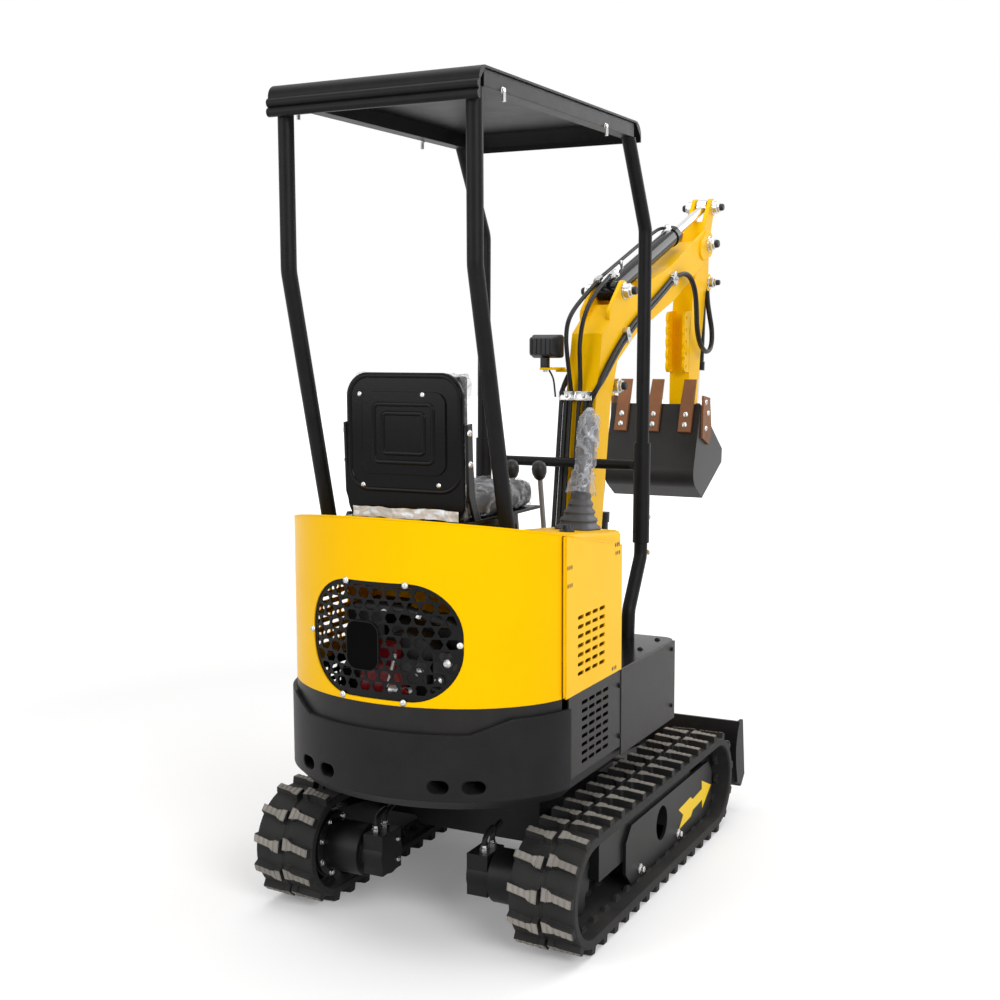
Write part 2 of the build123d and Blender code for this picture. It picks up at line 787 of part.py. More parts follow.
with BuildPart() as canopy_roof:
    rib_x = roof_rear_x + roof_rib_bulge
    lip_z = roof_top_z - roof_drop
    under_z = roof_top_z - roof_sheet
    front_lip_z = lip_z + roof_rib
    with BuildSketch(side(roof_half_width)) as profile:
        with BuildLine():
            for rib in range(2):
                foot_z = lip_z + rib * roof_rib
                ThreePointArc(
                    (rib_x, foot_z), (roof_rear_x, foot_z + roof_rib / 2), (rib_x, foot_z + roof_rib)
                )
            flat = Line((roof_rear_x + roof_roll, roof_top_z), (roof_front_x - roof_roll, roof_top_z))
            TangentArc(flat @ 0, (rib_x, lip_z + 2 * roof_rib), tangent=(-1, 0))
            roll = TangentArc(flat @ 1, (roof_front_x, roof_top_z - roof_roll), tangent=(1, 0))
            Polyline(
                roll @ 1,
                (roof_front_x, front_lip_z),
                (roof_front_x - roof_sheet, front_lip_z),
                (roof_front_x - roof_sheet, roof_top_z - roof_roll),
                (roof_front_x - roof_roll, under_z),
                (roof_rear_x + roof_roll, under_z),
                (rib_x + roof_sheet, lip_z + 2 * roof_rib),
                (rib_x + roof_sheet, lip_z),
                (rib_x, lip_z),
            )
        make_face()
    extrude(profile.sketch, amount=2 * roof_half_width)
save(canopy_roof.part, "canopy_roof")

with BuildPart() as canopy_rails:
    for sign in (1, -1):
        y = sign * (rear_post_y + 4)
        block(roof_rear_x + 42, roof_front_x - 44, y - 20, y + 20, rail_bottom_z, roof_top_z - roof_sheet)
save(canopy_rails.part, "canopy_rails")

with BuildPart() as handlebar:
    sleeve_x = 357.7
    seat_reach = (sleeve_radius + fit_gap) * cos(pi / 4)
    bar_x = sleeve_x + handlebar_offset
    end_y = front_post_y - seat_reach
    corner_y = front_post_y - handlebar_offset
    end_x = sleeve_x + seat_reach
    route = [(end_x, -end_y), (bar_x, -corner_y), (bar_x, corner_y), (end_x, end_y)]
    tube([(x, y, handlebar_z) for x, y in route], handlebar_bend, handlebar_radius)
save(handlebar.part, "handlebar")

with BuildPart() as joysticks:
    for sign in (1, -1):
        y = sign * stick_y
        foot_z = top_height(stick_x) - 12
        for pleat in range(boot_pleats):
            share = pleat / boot_pleats
            with BuildSketch(Plane((stick_x + 20 * share, y, foot_z + (boot_height + 12) * share))) as fold:
                RectangleRounded(100 - 62 * share, 96 - 60 * share, 15)
            extrude(fold.sketch, amount=(boot_height + 12) / boot_pleats, taper=12)
        tube([(stick_x + 18, y, foot_z + 90), (stick_x + 60, y, foot_z + 242)], 0, 11)
        tube([(stick_x + 60, y, foot_z + 240), (stick_x + 72, y, foot_z + 337)], 0, 21)
    split(bisect_by=top_plane(0), keep=Keep.TOP)
save(joysticks.part, "joysticks")

with BuildPart() as travel_levers:
    for y in (-45, 45):
        tube([(170, y, floor_z + floor_thickness), (170, y, 800), (110, y, 1150)], 60, 9)
        with Locations((106, y, 1168)):
            Sphere(22)
save(travel_levers.part, "travel_levers")

# Boom carrier on the front of the deck
carrier_inner = boom_half_width + 4
carrier_outer = carrier_inner + 18
with BuildPart() as boom_bracket:
    plate_half = house_half_width - front_flange - 1
    block(front_panel_x - sheet, front_panel_x + 16, -plate_half, plate_half, deck_bottom_z + 6, floor_z)
    root_x = front_panel_x + 20
    web = [(boom_foot, 62), (boom_cylinder_base, 44), ((root_x, 470), 20), ((root_x, 640), 6)]
    ear_pair(web, carrier_inner, carrier_outer)
    bar(boom_foot, -carrier_outer - 10, carrier_outer + 10, pin_radius)
    bar(boom_cylinder_base, -carrier_outer - 8, carrier_outer + 8, 18)
save(boom_bracket.part, "boom_bracket")

# Boom
fork_inner = arm_half_width + fork_gap
with BuildPart() as boom:
    with BuildSketch(side(boom_half_width)) as outline:
        with BuildLine():
            Polyline(
                (boom_foot[0] - 52, boom_foot[1]),
                boom_rear_low,
                boom_rear_high,
                (700, 1658),
                (1191, 1800),
                (boom_tip[0] - 20, boom_tip[1] + 54),
                (boom_tip[0] + 52, boom_tip[1]),
                (boom_tip[0] + 16, boom_tip[1] - 52),
                (1237, 1684),
                (860, 1562),
                (690, 1470),
                (636, 1340),
                (boom_foot[0] + 56, boom_foot[1]),
                close=True,
            )
        make_face()
        with Locations(boom_foot):
            Circle(54)
    extrude(outline.sketch, amount=2 * boom_half_width)
    slot_half = boom_half_width - ear_thickness
    ear_pair([(arm_cylinder_base, 34), ((650, 1620), 30), ((860, 1660), 30)], slot_half, boom_half_width)
    block(600, 990, -slot_half, slot_half, 1654, 1800, mode=Mode.SUBTRACT)
    ear_pair([(boom_cylinder_eye, 32), ((630, 1402), 30), ((620, 1450), 30)], 24, 38)
    tip_boss = [(boom_tip, 50), (between(boom_tip, (1191, 1750), 60), 40)]
    ear_pair(tip_boss, boom_half_width, boom_half_width + 6)
    bar(boom_cylinder_eye, -eye_pocket_half, eye_pocket_half, eye_pocket_radius, Mode.SUBTRACT)
    bar(boom_tip, -fork_inner, fork_inner, 150, Mode.SUBTRACT)
    bar(boom_foot, -100, 100, pin_radius + running_fit, Mode.SUBTRACT)
    for sign in (1, -1):
        bar(boom_cylinder_eye, sign * 24, sign * 62, 18)
    bar(arm_cylinder_base, -boom_half_width - 22, boom_half_width + 22, 18)
    bar(boom_tip, -boom_half_width - 22, boom_half_width + 22, pin_radius)
save(boom.part, "boom")

lamp_center = (boom_half_width + 54, 1520)
lamp_rear_x = 436
with BuildPart() as work_light:
    with BuildSketch(Plane.YZ.offset(lamp_rear_x)) as rear:
        with Locations(lamp_center):
            RectangleRounded(76, 50, 8)
    with BuildSketch(Plane.YZ.offset(lamp_rear_x + 44)) as rim:
        with Locations(lamp_center):
            RectangleRounded(104, 74, 10)
    loft([rear.sketch.face(), rim.sketch.face()])
    extrude(rim.sketch, amount=20)
    block(lamp_rear_x + 22, lamp_rear_x + 46, lamp_center[0] - 12, lamp_center[0] + 12, 1452, 1500)
    block(lamp_rear_x + 18, 540, boom_half_width + 14, lamp_center[0] + 12, 1446, 1453)
    block(520, 552, boom_half_width, boom_half_width + 40, 1437, 1447)
save(work_light.part, "work_light")

# Hydraulic hoses held on the boom, with their clamps
face_y = boom_half_width + hose_stand + hose_radius
rear_slope = hypot(boom_rear_high[0] - boom_rear_low[0], boom_rear_high[1] - boom_rear_low[1])
rear_out = (
    (boom_rear_low[1] - boom_rear_high[1]) / rear_slope,
    (boom_rear_high[0] - boom_rear_low[0]) / rear_slope,
)
foot_rear = (boom_foot[0] - 52, boom_foot[1])


def off_rear(start, end, distance, out):
    """Point of the side view along a rear edge of the boom, moved out from it."""
    spot = between(start, end, distance)
    return (spot[0] + out * rear_out[0], spot[1] + out * rear_out[1])


def rear_clamp(start, end, distance, y_from, y_to):
    """Clamp bar across the rear face of the boom."""
    corners = [
        off_rear(start, end, distance, 0),
        off_rear(start, end, distance + clamp_length, 0),
        off_rear(start, end, distance + clamp_length, clamp_height),
        off_rear(start, end, distance, clamp_height),
    ]
    plate(corners, y_from, y_to)


def side_clamp(center, sign):
    """Clamp block on a side face of the boom, square to the hoses."""
    ahead = between(side_bend, side_end, clamp_length / 2)
    along_x = ahead[0] - side_bend[0]
    along_z = ahead[1] - side_bend[1]
    across = (hose_pitch + 2 * hose_radius) / clamp_length * 1.5
    corners = [
        (center[0] + a * along_x - b * across * along_z, center[1] + a * along_z + b * across * along_x)
        for a, b in ((1, 1), (-1, 1), (-1, -1), (1, -1))
    ]
    plate(corners, sign * boom_half_width, sign * (face_y + hose_radius + 4))


side_start = (500, 1378)
side_bend = (748, 1556)
side_end = (1190, 1754)
low_hose = off_rear(foot_rear, boom_rear_low, 100, hose_radius + 6)
high_hose = off_rear(boom_rear_low, boom_rear_high, 14, hose_radius + 6)
over_elbow = {
    30: [(466, 1560), (566, 1672), (712, 1732)],
    0: [(494, 1540), (586, 1668), (774, 1760)],
}
with BuildPart() as boom_hoses:
    for y, points in over_elbow.items():
        route = [low_hose, high_hose] + points
        tube([(x, y, z) for x, z in route], hose_bend, hose_radius)
    for sign, edge_y, run in ((-1, -32, [side_bend, side_end]), (1, 54, [side_bend])):
        for row in (1, -1):
            y = edge_y + row * hose_pitch / 2
            route = [(low_hose[0], y, low_hose[1]), (high_hose[0], y, high_hose[1])]
            for x, z in [side_start] + run:
                route.append((x - row * hose_pitch * 0.24, sign * face_y, z + row * hose_pitch * 0.44))
            tube(route, hose_bend / 3, hose_radius)
    rear_clamp(boom_rear_low, boom_rear_high, 10, -48, 70)
    rear_clamp(foot_rear, boom_rear_low, 104, -48, 70)
    side_clamp(side_bend, -1)
    side_clamp(side_end, -1)
    side_clamp(side_bend, 1)
save(boom_hoses.part, "boom_hoses")

# Arm
with BuildPart() as arm:
    with BuildSketch(side(arm_half_width)) as outline:
        with BuildLine():
            Polyline(
                (bucket_pin[0] - 36, bucket_pin[1]),
                (1434, 1300),
                (1440, 1560),
                (1476, 1730),
                (1540, 1900),
                (1655, 2055),
                (1712, 2050),
                (1650, 1905),
                (1648, 1800),
                (1622, 1735),
                (1575, 1540),
                (1528, 1273),
                (bucket_pin[0] + 36, bucket_pin[1]),
                close=True,
            )
        make_face()
        with Locations(bucket_pin):
            Circle(36)
        with Locations(arm_cylinder_eye):
            Circle(34)
        with Locations(bucket_cylinder_base):
            Circle(34)
    extrude(outline.sketch, amount=2 * arm_half_width)
    bar(arm_cylinder_eye, -24, 24, 105, Mode.SUBTRACT)
    bar(bucket_cylinder_base, -26, 26, 48, Mode.SUBTRACT)
    bar(boom_tip, -100, 100, pin_radius + running_fit, Mode.SUBTRACT)
    bar(bucket_pin, -100, 100, small_pin_radius + running_fit, Mode.SUBTRACT)
    for sign in (1, -1):
        bar(arm_cylinder_eye, sign * 24, sign * 58, 18)
        bar(rocker_pin, sign * arm_half_width, sign * (arm_half_width + 24), small_pin_radius)
    bar(bucket_cylinder_base, -58, 58, small_pin_radius)
save(arm.part, "arm")

thumb_top = (1405, 1620)
thumb_bottom = (1405, 1440)
thumb_hole_radius = 7.5
thumb_pitch = 45
thumb_outer = arm_half_width - 1
with BuildPart() as thumb_bracket:
    thumb_shape = [(thumb_top, 22), (thumb_bottom, 22), ((1470, 1640), 8), ((1450, 1425), 8)]
    ear_pair(thumb_shape, thumb_outer - 10, thumb_outer)
    with BuildSketch(side(60)) as behind:
        Polygon((1434, 1300), (1440, 1560), (1476, 1730), (1600, 1730), (1600, 1300), align=None)
    extrude(behind.sketch, amount=120, mode=Mode.SUBTRACT)
    for i in range(5):
        bar((thumb_top[0], thumb_top[1] - i * thumb_pitch), -60, 60, thumb_hole_radius, Mode.SUBTRACT)
    for i in range(4):
        dip_z = thumb_top[1] - (i + 0.5) * thumb_pitch
        bar((thumb_top[0] - 32, dip_z), -60, 60, 16, Mode.SUBTRACT)
save(thumb_bracket.part, "thumb_bracket")

# Bucket, its teeth and linkage
lip = (1190, 1310)
heel = (1104, 1040)
toe = (1215, 972)
hinge_corner = (1436, 1085)
mouth_corner = (1440, 1135)
bucket_round = 62
ear_inner = arm_half_width + 8
with BuildPart() as bucket:
    with BuildSketch(side(bucket_half_width)) as outline:
        with BuildLine():
            Polyline(lip, heel, toe, hinge_corner, mouth_corner, close=True)
        make_face()
        corners = outline.vertices().sort_by(Axis.Z)
        fillet(corners[0], bucket_round)
        fillet(outline.vertices().sort_by(Axis.X)[0], bucket_round)
    extrude(outline.sketch, amount=2 * bucket_half_width)
    with BuildSketch(side(bucket_half_width - bucket_plate)) as inside:
        add(outline.sketch_local)
        offset(amount=-bucket_plate, kind=Kind.INTERSECTION)
        Polygon(
            (lip[0] + 4, lip[1] - 16),
            (lip[0] + 60, lip[1] + 60),
            (mouth_corner[0] + 60, mouth_corner[1] + 20),
            (mouth_corner[0] - 14, mouth_corner[1] - 20),
            align=None,
        )
    extrude(inside.sketch, amount=2 * (bucket_half_width - bucket_plate), mode=Mode.SUBTRACT)
    hanger = [(bucket_pin, 33), (bucket_link_pin, 30), ((1345, 1042), 8), ((1420, 1100), 8)]
    ear_pair(hanger, ear_inner, ear_inner + 11)
    with BuildSketch(side(100)) as hollow:
        add(outline.sketch_local)
        offset(amount=-bucket_plate, kind=Kind.INTERSECTION)
    extrude(hollow.sketch, amount=200, mode=Mode.SUBTRACT)
    bar(bucket_pin, -ear_inner - 14, ear_inner + 14, small_pin_radius)
    bar(bucket_link_pin, -ear_inner, ear_inner, small_pin_radius)
save(bucket.part, "bucket")

floor_length = hypot(lip[0] - heel[0], lip[1] - heel[1])
run = ((lip[0] - heel[0]) / floor_length, (lip[1] - heel[1]) / floor_length)


def on_floor(forward, out):
    """Point measured from the lip along the floor plate and out from its face."""
    return (lip[0] + forward * run[0] - out * run[1], lip[1] + forward * run[1] + out * run[0])


with BuildPart() as bucket_teeth:
    tooth = [on_floor(-105, 0), on_floor(92, 0), on_floor(90, 4), on_floor(10, 15), on_floor(-105, 13)]
    for y in (-tooth_pitch, 0, tooth_pitch):
        plate(tooth, y - tooth_width / 2, y + tooth_width / 2)
    for sign in (1, -1):
        cutter = [(1190, 1190), (1262, 1162), (1290, 1215), (1270, 1330), (1200, 1340)]
        plate(cutter, sign * bucket_half_width, sign * (bucket_half_width + 8))
save(bucket_teeth.part, "bucket_teeth")

rocker_inner = arm_half_width + 8
link_inner = rocker_inner + 17
with BuildPart() as rocker:
    ear_pair([(rocker_pin, 26), (rocker_eye, 25)], rocker_inner, rocker_inner + 12)
    bar(rocker_pin, -100, 100, small_pin_radius + running_fit, Mode.SUBTRACT)
    for sign in (1, -1):
        bar(rocker_eye, sign * 26, sign * (link_inner + 18), small_pin_radius)
save(rocker.part, "rocker")

with BuildPart() as bucket_link:
    ear_pair([(rocker_eye, 26), (bucket_link_pin, 26)], link_inner, link_inner + 12)
    bar(rocker_eye, -100, 100, small_pin_radius + running_fit, Mode.SUBTRACT)
    for sign in (1, -1):
        bar(bucket_link_pin, sign * (link_inner + 12), sign * (link_inner + 18), small_pin_radius + 4)
save(bucket_link.part, "bucket_link")
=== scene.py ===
import bmesh
import bpy
import math
from mathutils import Matrix, Vector, noise
from mathutils.bvhtree import BVHTree


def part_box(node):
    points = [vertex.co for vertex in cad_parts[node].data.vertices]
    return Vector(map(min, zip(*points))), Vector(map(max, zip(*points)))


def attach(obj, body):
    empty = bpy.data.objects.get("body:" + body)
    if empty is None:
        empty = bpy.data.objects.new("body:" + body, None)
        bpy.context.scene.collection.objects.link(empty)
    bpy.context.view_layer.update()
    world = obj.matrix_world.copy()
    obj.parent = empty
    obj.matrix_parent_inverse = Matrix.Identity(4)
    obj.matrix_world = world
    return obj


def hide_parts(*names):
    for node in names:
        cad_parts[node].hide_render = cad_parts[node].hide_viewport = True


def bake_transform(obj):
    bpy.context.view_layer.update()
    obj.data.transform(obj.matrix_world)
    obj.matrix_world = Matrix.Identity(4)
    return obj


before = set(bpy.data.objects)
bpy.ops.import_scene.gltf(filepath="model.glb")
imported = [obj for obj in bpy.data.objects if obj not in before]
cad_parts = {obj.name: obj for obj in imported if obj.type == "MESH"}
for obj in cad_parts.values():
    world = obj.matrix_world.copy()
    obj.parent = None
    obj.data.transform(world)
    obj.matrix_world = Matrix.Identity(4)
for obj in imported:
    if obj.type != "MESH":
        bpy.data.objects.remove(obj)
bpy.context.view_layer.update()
scene = bpy.context.scene
mm = 0.001
print("frame loaded:", len(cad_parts), "nodes")


# mesh helpers: each add function puts a closed shape into a bmesh, with a material index

def place(point, axis=(0, 0, 1), spin=0.0):
    turn = Vector((0, 0, 1)).rotation_difference(Vector(axis).normalized())
    return Matrix.Translation(point) @ turn.to_matrix().to_4x4() @ Matrix.Rotation(spin, 4, "Z")


def turns(count):
    return [2 * math.pi * i / count for i in range(count)]


def bridge(bm, low, high, index):
    count = max(len(low), len(high))
    for i in range(count):
        j = (i + 1) % count
        corners = [low[i % len(low)], low[j % len(low)], high[j % len(high)], high[i % len(high)]]
        corners = list(dict.fromkeys(corners))  # a ring of one vertex gives a triangle
        if len(corners) > 2:
            bm.faces.new(corners).material_index = index


def joinRings(bm, rings, index, around=False):
    for low, high in zip(rings, rings[1:] + rings[:1] if around else rings[1:]):
        bridge(bm, low, high, index)


def capEnds(bm, rings, index, topIndex=None):
    if len(rings[0]) > 2:
        bm.faces.new(list(reversed(rings[0]))).material_index = index
    if len(rings[-1]) > 2:
        bm.faces.new(rings[-1]).material_index = index if topIndex is None else topIndex


def addLathe(bm, profile, where, sides=24, index=0):
    rings = []
    for radius, height in profile:
        if radius < 1e-6:
            rings.append([bm.verts.new(where @ Vector((0, 0, height)))])
            continue
        ring = []
        for angle in turns(sides):
            point = Vector((radius * math.cos(angle), radius * math.sin(angle), height))
            ring.append(bm.verts.new(where @ point))
        rings.append(ring)
    joinRings(bm, rings, index)
    capEnds(bm, rings, index)


def addStack(bm, layers, where, index=0, topIndex=None):
    rings = [[bm.verts.new(where @ Vector((x, y, z))) for x, y in outline] for outline, z in layers]
    joinRings(bm, rings, index)
    capEnds(bm, rings, index, topIndex)


def addBlock(bm, low, high, index=0, edge=0.0):
    made = bmesh.ops.create_cube(bm, size=1.0)["verts"]
    for vert in made:
        for k in range(3):
            vert.co[k] = low[k] if vert.co[k] < 0 else high[k]
    faces = {face for vert in made for face in vert.link_faces}
    for face in faces:
        face.material_index = index
    if edge:
        edges = {line for face in faces for line in face.edges}
        bmesh.ops.bevel(
            bm, geom=list(edges), offset=edge, segments=2, affect="EDGES", profile=0.6, material=index
        )


def addTube(bm, points, radius, sides=12, index=0):
    points = [Vector(point) for point in points]
    side = Vector((0.31, 0.77, 0.55))
    rings = []
    for i, point in enumerate(points):
        ahead = points[min(i + 1, len(points) - 1)]
        behind = points[max(i - 1, 0)]
        along = (ahead - behind).normalized()
        side = (side - along * side.dot(along)).normalized()
        other = along.cross(side)
        ring = []
        for angle in turns(sides):
            ring.append(bm.verts.new(point + radius * (math.cos(angle) * side + math.sin(angle) * other)))
        rings.append(ring)
    joinRings(bm, rings, index)
    capEnds(bm, rings, index)


def roundedOutline(width, height, corner, steps=6):
    outline = []
    for quarter, (sx, sy) in enumerate(((1, 1), (-1, 1), (-1, -1), (1, -1))):
        for i in range(steps + 1):
            angle = math.pi / 2 * (quarter + i / steps)
            x = sx * (width / 2 - corner) + corner * math.cos(angle)
            outline.append((x, sy * (height / 2 - corner) + corner * math.sin(angle)))
    return outline


def smoothPath(points, density=6):
    curve = bpy.data.curves.new("route", "CURVE")
    curve.dimensions = "3D"
    curve.resolution_u = density
    spline = curve.splines.new("NURBS")
    spline.points.add(len(points) - 1)
    for target, point in zip(spline.points, points):
        target.co = (*point, 1)
    spline.use_endpoint_u = True
    spline.order_u = 3
    holder = bpy.data.objects.new("route", curve)
    mesh = bpy.data.meshes.new_from_object(holder)
    line = [vert.co.copy() for vert in mesh.vertices]
    bpy.data.objects.remove(holder)
    bpy.data.curves.remove(curve)
    bpy.data.meshes.remove(mesh)
    return line


def addBolt(bm, point, axis, size=10 * mm, index=0):
    where = place(point, axis, 0.3)
    addLathe(bm, [(size, -mm), (size, 0.12 * size), (0.95 * size, 0.2 * size)], where, 20, index)
    head = [(0.8 * size, 0.18 * size), (0.8 * size, 0.68 * size), (0.68 * size, 0.8 * size)]
    addLathe(bm, head, where, 6, index)


def addButton(bm, point, axis, size=8 * mm, index=0):
    dome = [(size, -mm), (size, 0.1 * size)]
    for i in range(1, 5):
        angle = math.pi / 2 * i / 5
        dome.append((0.92 * size * math.cos(angle), size * (0.1 + 0.55 * math.sin(angle))))
    dome.append((0.3 * size, 0.62 * size))
    dome.append((0.26 * size, 0.4 * size))
    addLathe(bm, dome, place(point, axis), 16, index)


def newPiece(name, bm):
    mesh = bpy.data.meshes.new(name)
    bm.to_mesh(mesh)
    bm.free()
    piece = bpy.data.objects.new(name, mesh)
    scene.collection.objects.link(piece)
    return piece


def finishPiece(name, bm, body, materials, stands=(), sharp=38):
    bmesh.ops.recalc_face_normals(bm, faces=bm.faces)
    piece = newPiece(name, bm)
    for material in materials:
        piece.data.materials.append(skins[material])
    piece.data.shade_smooth()
    piece.data.set_sharp_from_angle(angle=math.radians(sharp))
    if body:
        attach(piece, body)
    if stands:
        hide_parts(*stands)
    return piece


# shared effects as node groups

def newGroup(name, inputs, outputs, kind="NodeSocketFloat"):
    group = bpy.data.node_groups.new(name, "ShaderNodeTree")
    for label, value in inputs.items():
        socket = group.interface.new_socket(label, in_out="INPUT", socket_type="NodeSocketFloat")
        socket.default_value = value
    for label in outputs:
        group.interface.new_socket(label, in_out="OUTPUT", socket_type=kind)
    return group, group.nodes.new("NodeGroupInput"), group.nodes.new("NodeGroupOutput")


def feed(tree, socket, value):
    if isinstance(value, (int, float, tuple)):
        socket.default_value = value
    else:
        tree.links.new(value, socket)


def mathNode(tree, operation, first, second=0.5, clamp=False):
    node = tree.nodes.new("ShaderNodeMath")
    node.operation = operation
    node.use_clamp = clamp
    feed(tree, node.inputs[0], first)
    feed(tree, node.inputs[1], second)
    return node.outputs[0]


def noiseNode(tree, vector, scale, detail=3.0, roughness=0.55):
    node = tree.nodes.new("ShaderNodeTexNoise")
    node.inputs["Detail"].default_value = detail
    node.inputs["Roughness"].default_value = roughness
    tree.links.new(vector, node.inputs["Vector"])
    feed(tree, node.inputs["Scale"], scale)
    return node.outputs["Fac"]


def rangeNode(tree, value, low, high, toLow=0.0, toHigh=1.0):
    node = tree.nodes.new("ShaderNodeMapRange")
    sockets = ("Value", "From Min", "From Max", "To Min", "To Max")
    for socket, given in zip(sockets, (value, low, high, toLow, toHigh)):
        feed(tree, node.inputs[socket], given)
    return node.outputs["Result"]


def makeEdgeWear():
    group, given, out = newGroup("edgeWear", dict(Radius=0.003, Breakup=60.0, Amount=0.5), ["Mask"])
    bevel = group.nodes.new("ShaderNodeBevel")
    bevel.samples = 4
    group.links.new(given.outputs["Radius"], bevel.inputs["Radius"])
    geometry = group.nodes.new("ShaderNodeNewGeometry")
    dot = group.nodes.new("ShaderNodeVectorMath")
    dot.operation = "DOT_PRODUCT"
    group.links.new(bevel.outputs["Normal"], dot.inputs[0])
    group.links.new(geometry.outputs["Normal"], dot.inputs[1])
    edge = rangeNode(group, dot.outputs["Value"], 0.985, 0.8)
    coords = group.nodes.new("ShaderNodeTexCoord")
    patches = noiseNode(group, coords.outputs["Object"], given.outputs["Breakup"], 4.0, 0.65)
    broken = mathNode(group, "MULTIPLY", edge, rangeNode(group, patches, 0.44, 0.62))
    mask = mathNode(group, "MULTIPLY", broken, given.outputs["Amount"], True)
    group.links.new(mask, out.inputs["Mask"])
    return group


def makeGrain():
    group, given, out = newGroup("surfaceGrain", dict(Scale=400.0), ["Height", "Tone"])
    coords = group.nodes.new("ShaderNodeTexCoord").outputs["Object"]
    fine = noiseNode(group, coords, given.outputs["Scale"], 2.0)
    coarseScale = mathNode(group, "MULTIPLY", given.outputs["Scale"], 0.02)
    coarse = noiseNode(group, coords, coarseScale, 5.0, 0.6)
    group.links.new(fine, out.inputs["Height"])
    group.links.new(rangeNode(group, coarse, 0.3, 0.7), out.inputs["Tone"])
    return group


def makeDust():
    group, given, out = newGroup("groundDust", dict(Top=0.6, Amount=0.4, Settled=0.2), ["Mask"])
    coords = group.nodes.new("ShaderNodeTexCoord")
    split = group.nodes.new("ShaderNodeSeparateXYZ")
    group.links.new(coords.outputs["Object"], split.inputs[0])
    low = rangeNode(group, split.outputs["Z"], given.outputs["Top"], 0.0)
    cloud = rangeNode(group, noiseNode(group, coords.outputs["Object"], 7.0, 8.0, 0.65), 0.4, 0.72)
    patchy = mathNode(group, "MULTIPLY", low, cloud)
    fromGround = mathNode(group, "MULTIPLY", patchy, given.outputs["Amount"])
    geometry = group.nodes.new("ShaderNodeNewGeometry")
    facing = group.nodes.new("ShaderNodeSeparateXYZ")
    group.links.new(geometry.outputs["Normal"], facing.inputs[0])
    upward = mathNode(group, "MULTIPLY", rangeNode(group, facing.outputs["Z"], 0.55, 1.0), cloud)
    onTop = mathNode(group, "MULTIPLY", upward, given.outputs["Settled"])
    group.links.new(mathNode(group, "ADD", fromGround, onTop, True), out.inputs["Mask"])
    return group


def makeSoftNormal():
    inputs = dict(Radius=0.002, Height=0.5, Depth=0.0002)
    group, given, out = newGroup("softNormal", inputs, ["Normal"], "NodeSocketVector")
    bevel = group.nodes.new("ShaderNodeBevel")
    bevel.samples = 4
    group.links.new(given.outputs["Radius"], bevel.inputs["Radius"])
    bump = group.nodes.new("ShaderNodeBump")
    bump.inputs["Strength"].default_value = 1.0
    group.links.new(given.outputs["Height"], bump.inputs["Height"])
    group.links.new(given.outputs["Depth"], bump.inputs["Distance"])
    group.links.new(bevel.outputs["Normal"], bump.inputs["Normal"])
    group.links.new(bump.outputs["Normal"], out.inputs["Normal"])
    return group


effects = {"wear": makeEdgeWear(), "grain": makeGrain(), "dust": makeDust(), "soft": makeSoftNormal()}


def useEffect(tree, effect, **values):
    node = tree.nodes.new("ShaderNodeGroup")
    node.node_tree = effects[effect]
    for label, value in values.items():
        feed(tree, node.inputs[label], value)
    return node.outputs


def mixColor(tree, factor, first, second):
    node = tree.nodes.new("ShaderNodeMix")
    node.data_type = "RGBA"
    tree.links.new(factor, node.inputs["Factor"])
    for slot, value in ((6, first), (7, second)):  # the mix node's color sockets
        feed(tree, node.inputs[slot], (*value, 1.0) if isinstance(value, tuple) else value)
    return node.outputs[2]


def newMaterial(name):
    material = bpy.data.materials.new(name)
    material.use_nodes = True
    tree = material.node_tree
    return material, tree, tree.nodes["Principled BSDF"]


def makeFinish(name, look):
    material, tree, shader = newMaterial(name)
    grain = useEffect(tree, "grain", Scale=look["grain"])
    color = mixColor(tree, grain["Tone"], look["color"], look["shade"])
    smoothest = look["rough"] - look.get("roughSpan", 0.05)
    rough = rangeNode(tree, grain["Tone"], 0.0, 1.0, smoothest, look["rough"])
    if "wear" in look:
        radius, breakup = look.get("wearRadius", 0.003), look.get("breakup", 60.0)
        wear = useEffect(tree, "wear", Radius=radius, Breakup=breakup, Amount=look["wear"])["Mask"]
        color = mixColor(tree, wear, color, look["wearColor"])
        rough = mathNode(tree, "ADD", rough, mathNode(tree, "MULTIPLY", wear, 0.15), True)
    if "dust" in look:
        settled = look.get("settled", 0.1)
        dust = useEffect(tree, "dust", Top=look["dustTop"], Amount=look["dust"], Settled=settled)["Mask"]
        color = mixColor(tree, dust, color, dustColor)
        rough = mathNode(tree, "ADD", rough, mathNode(tree, "MULTIPLY", dust, 0.3), True)
    radius = look.get("round", 0.002)
    normal = useEffect(tree, "soft", Radius=radius, Height=grain["Height"], Depth=look["depth"])["Normal"]
    tree.links.new(color, shader.inputs["Base Color"])
    tree.links.new(rough, shader.inputs["Roughness"])
    tree.links.new(normal, shader.inputs["Normal"])
    shader.inputs["Metallic"].default_value = look.get("metal", 0.0)
    shader.inputs["Specular IOR Level"].default_value = look.get("specular", 0.5)
    shader.inputs["Specular Tint"].default_value = (*look.get("tint", (1.0, 1.0, 1.0)), 1.0)
    return material


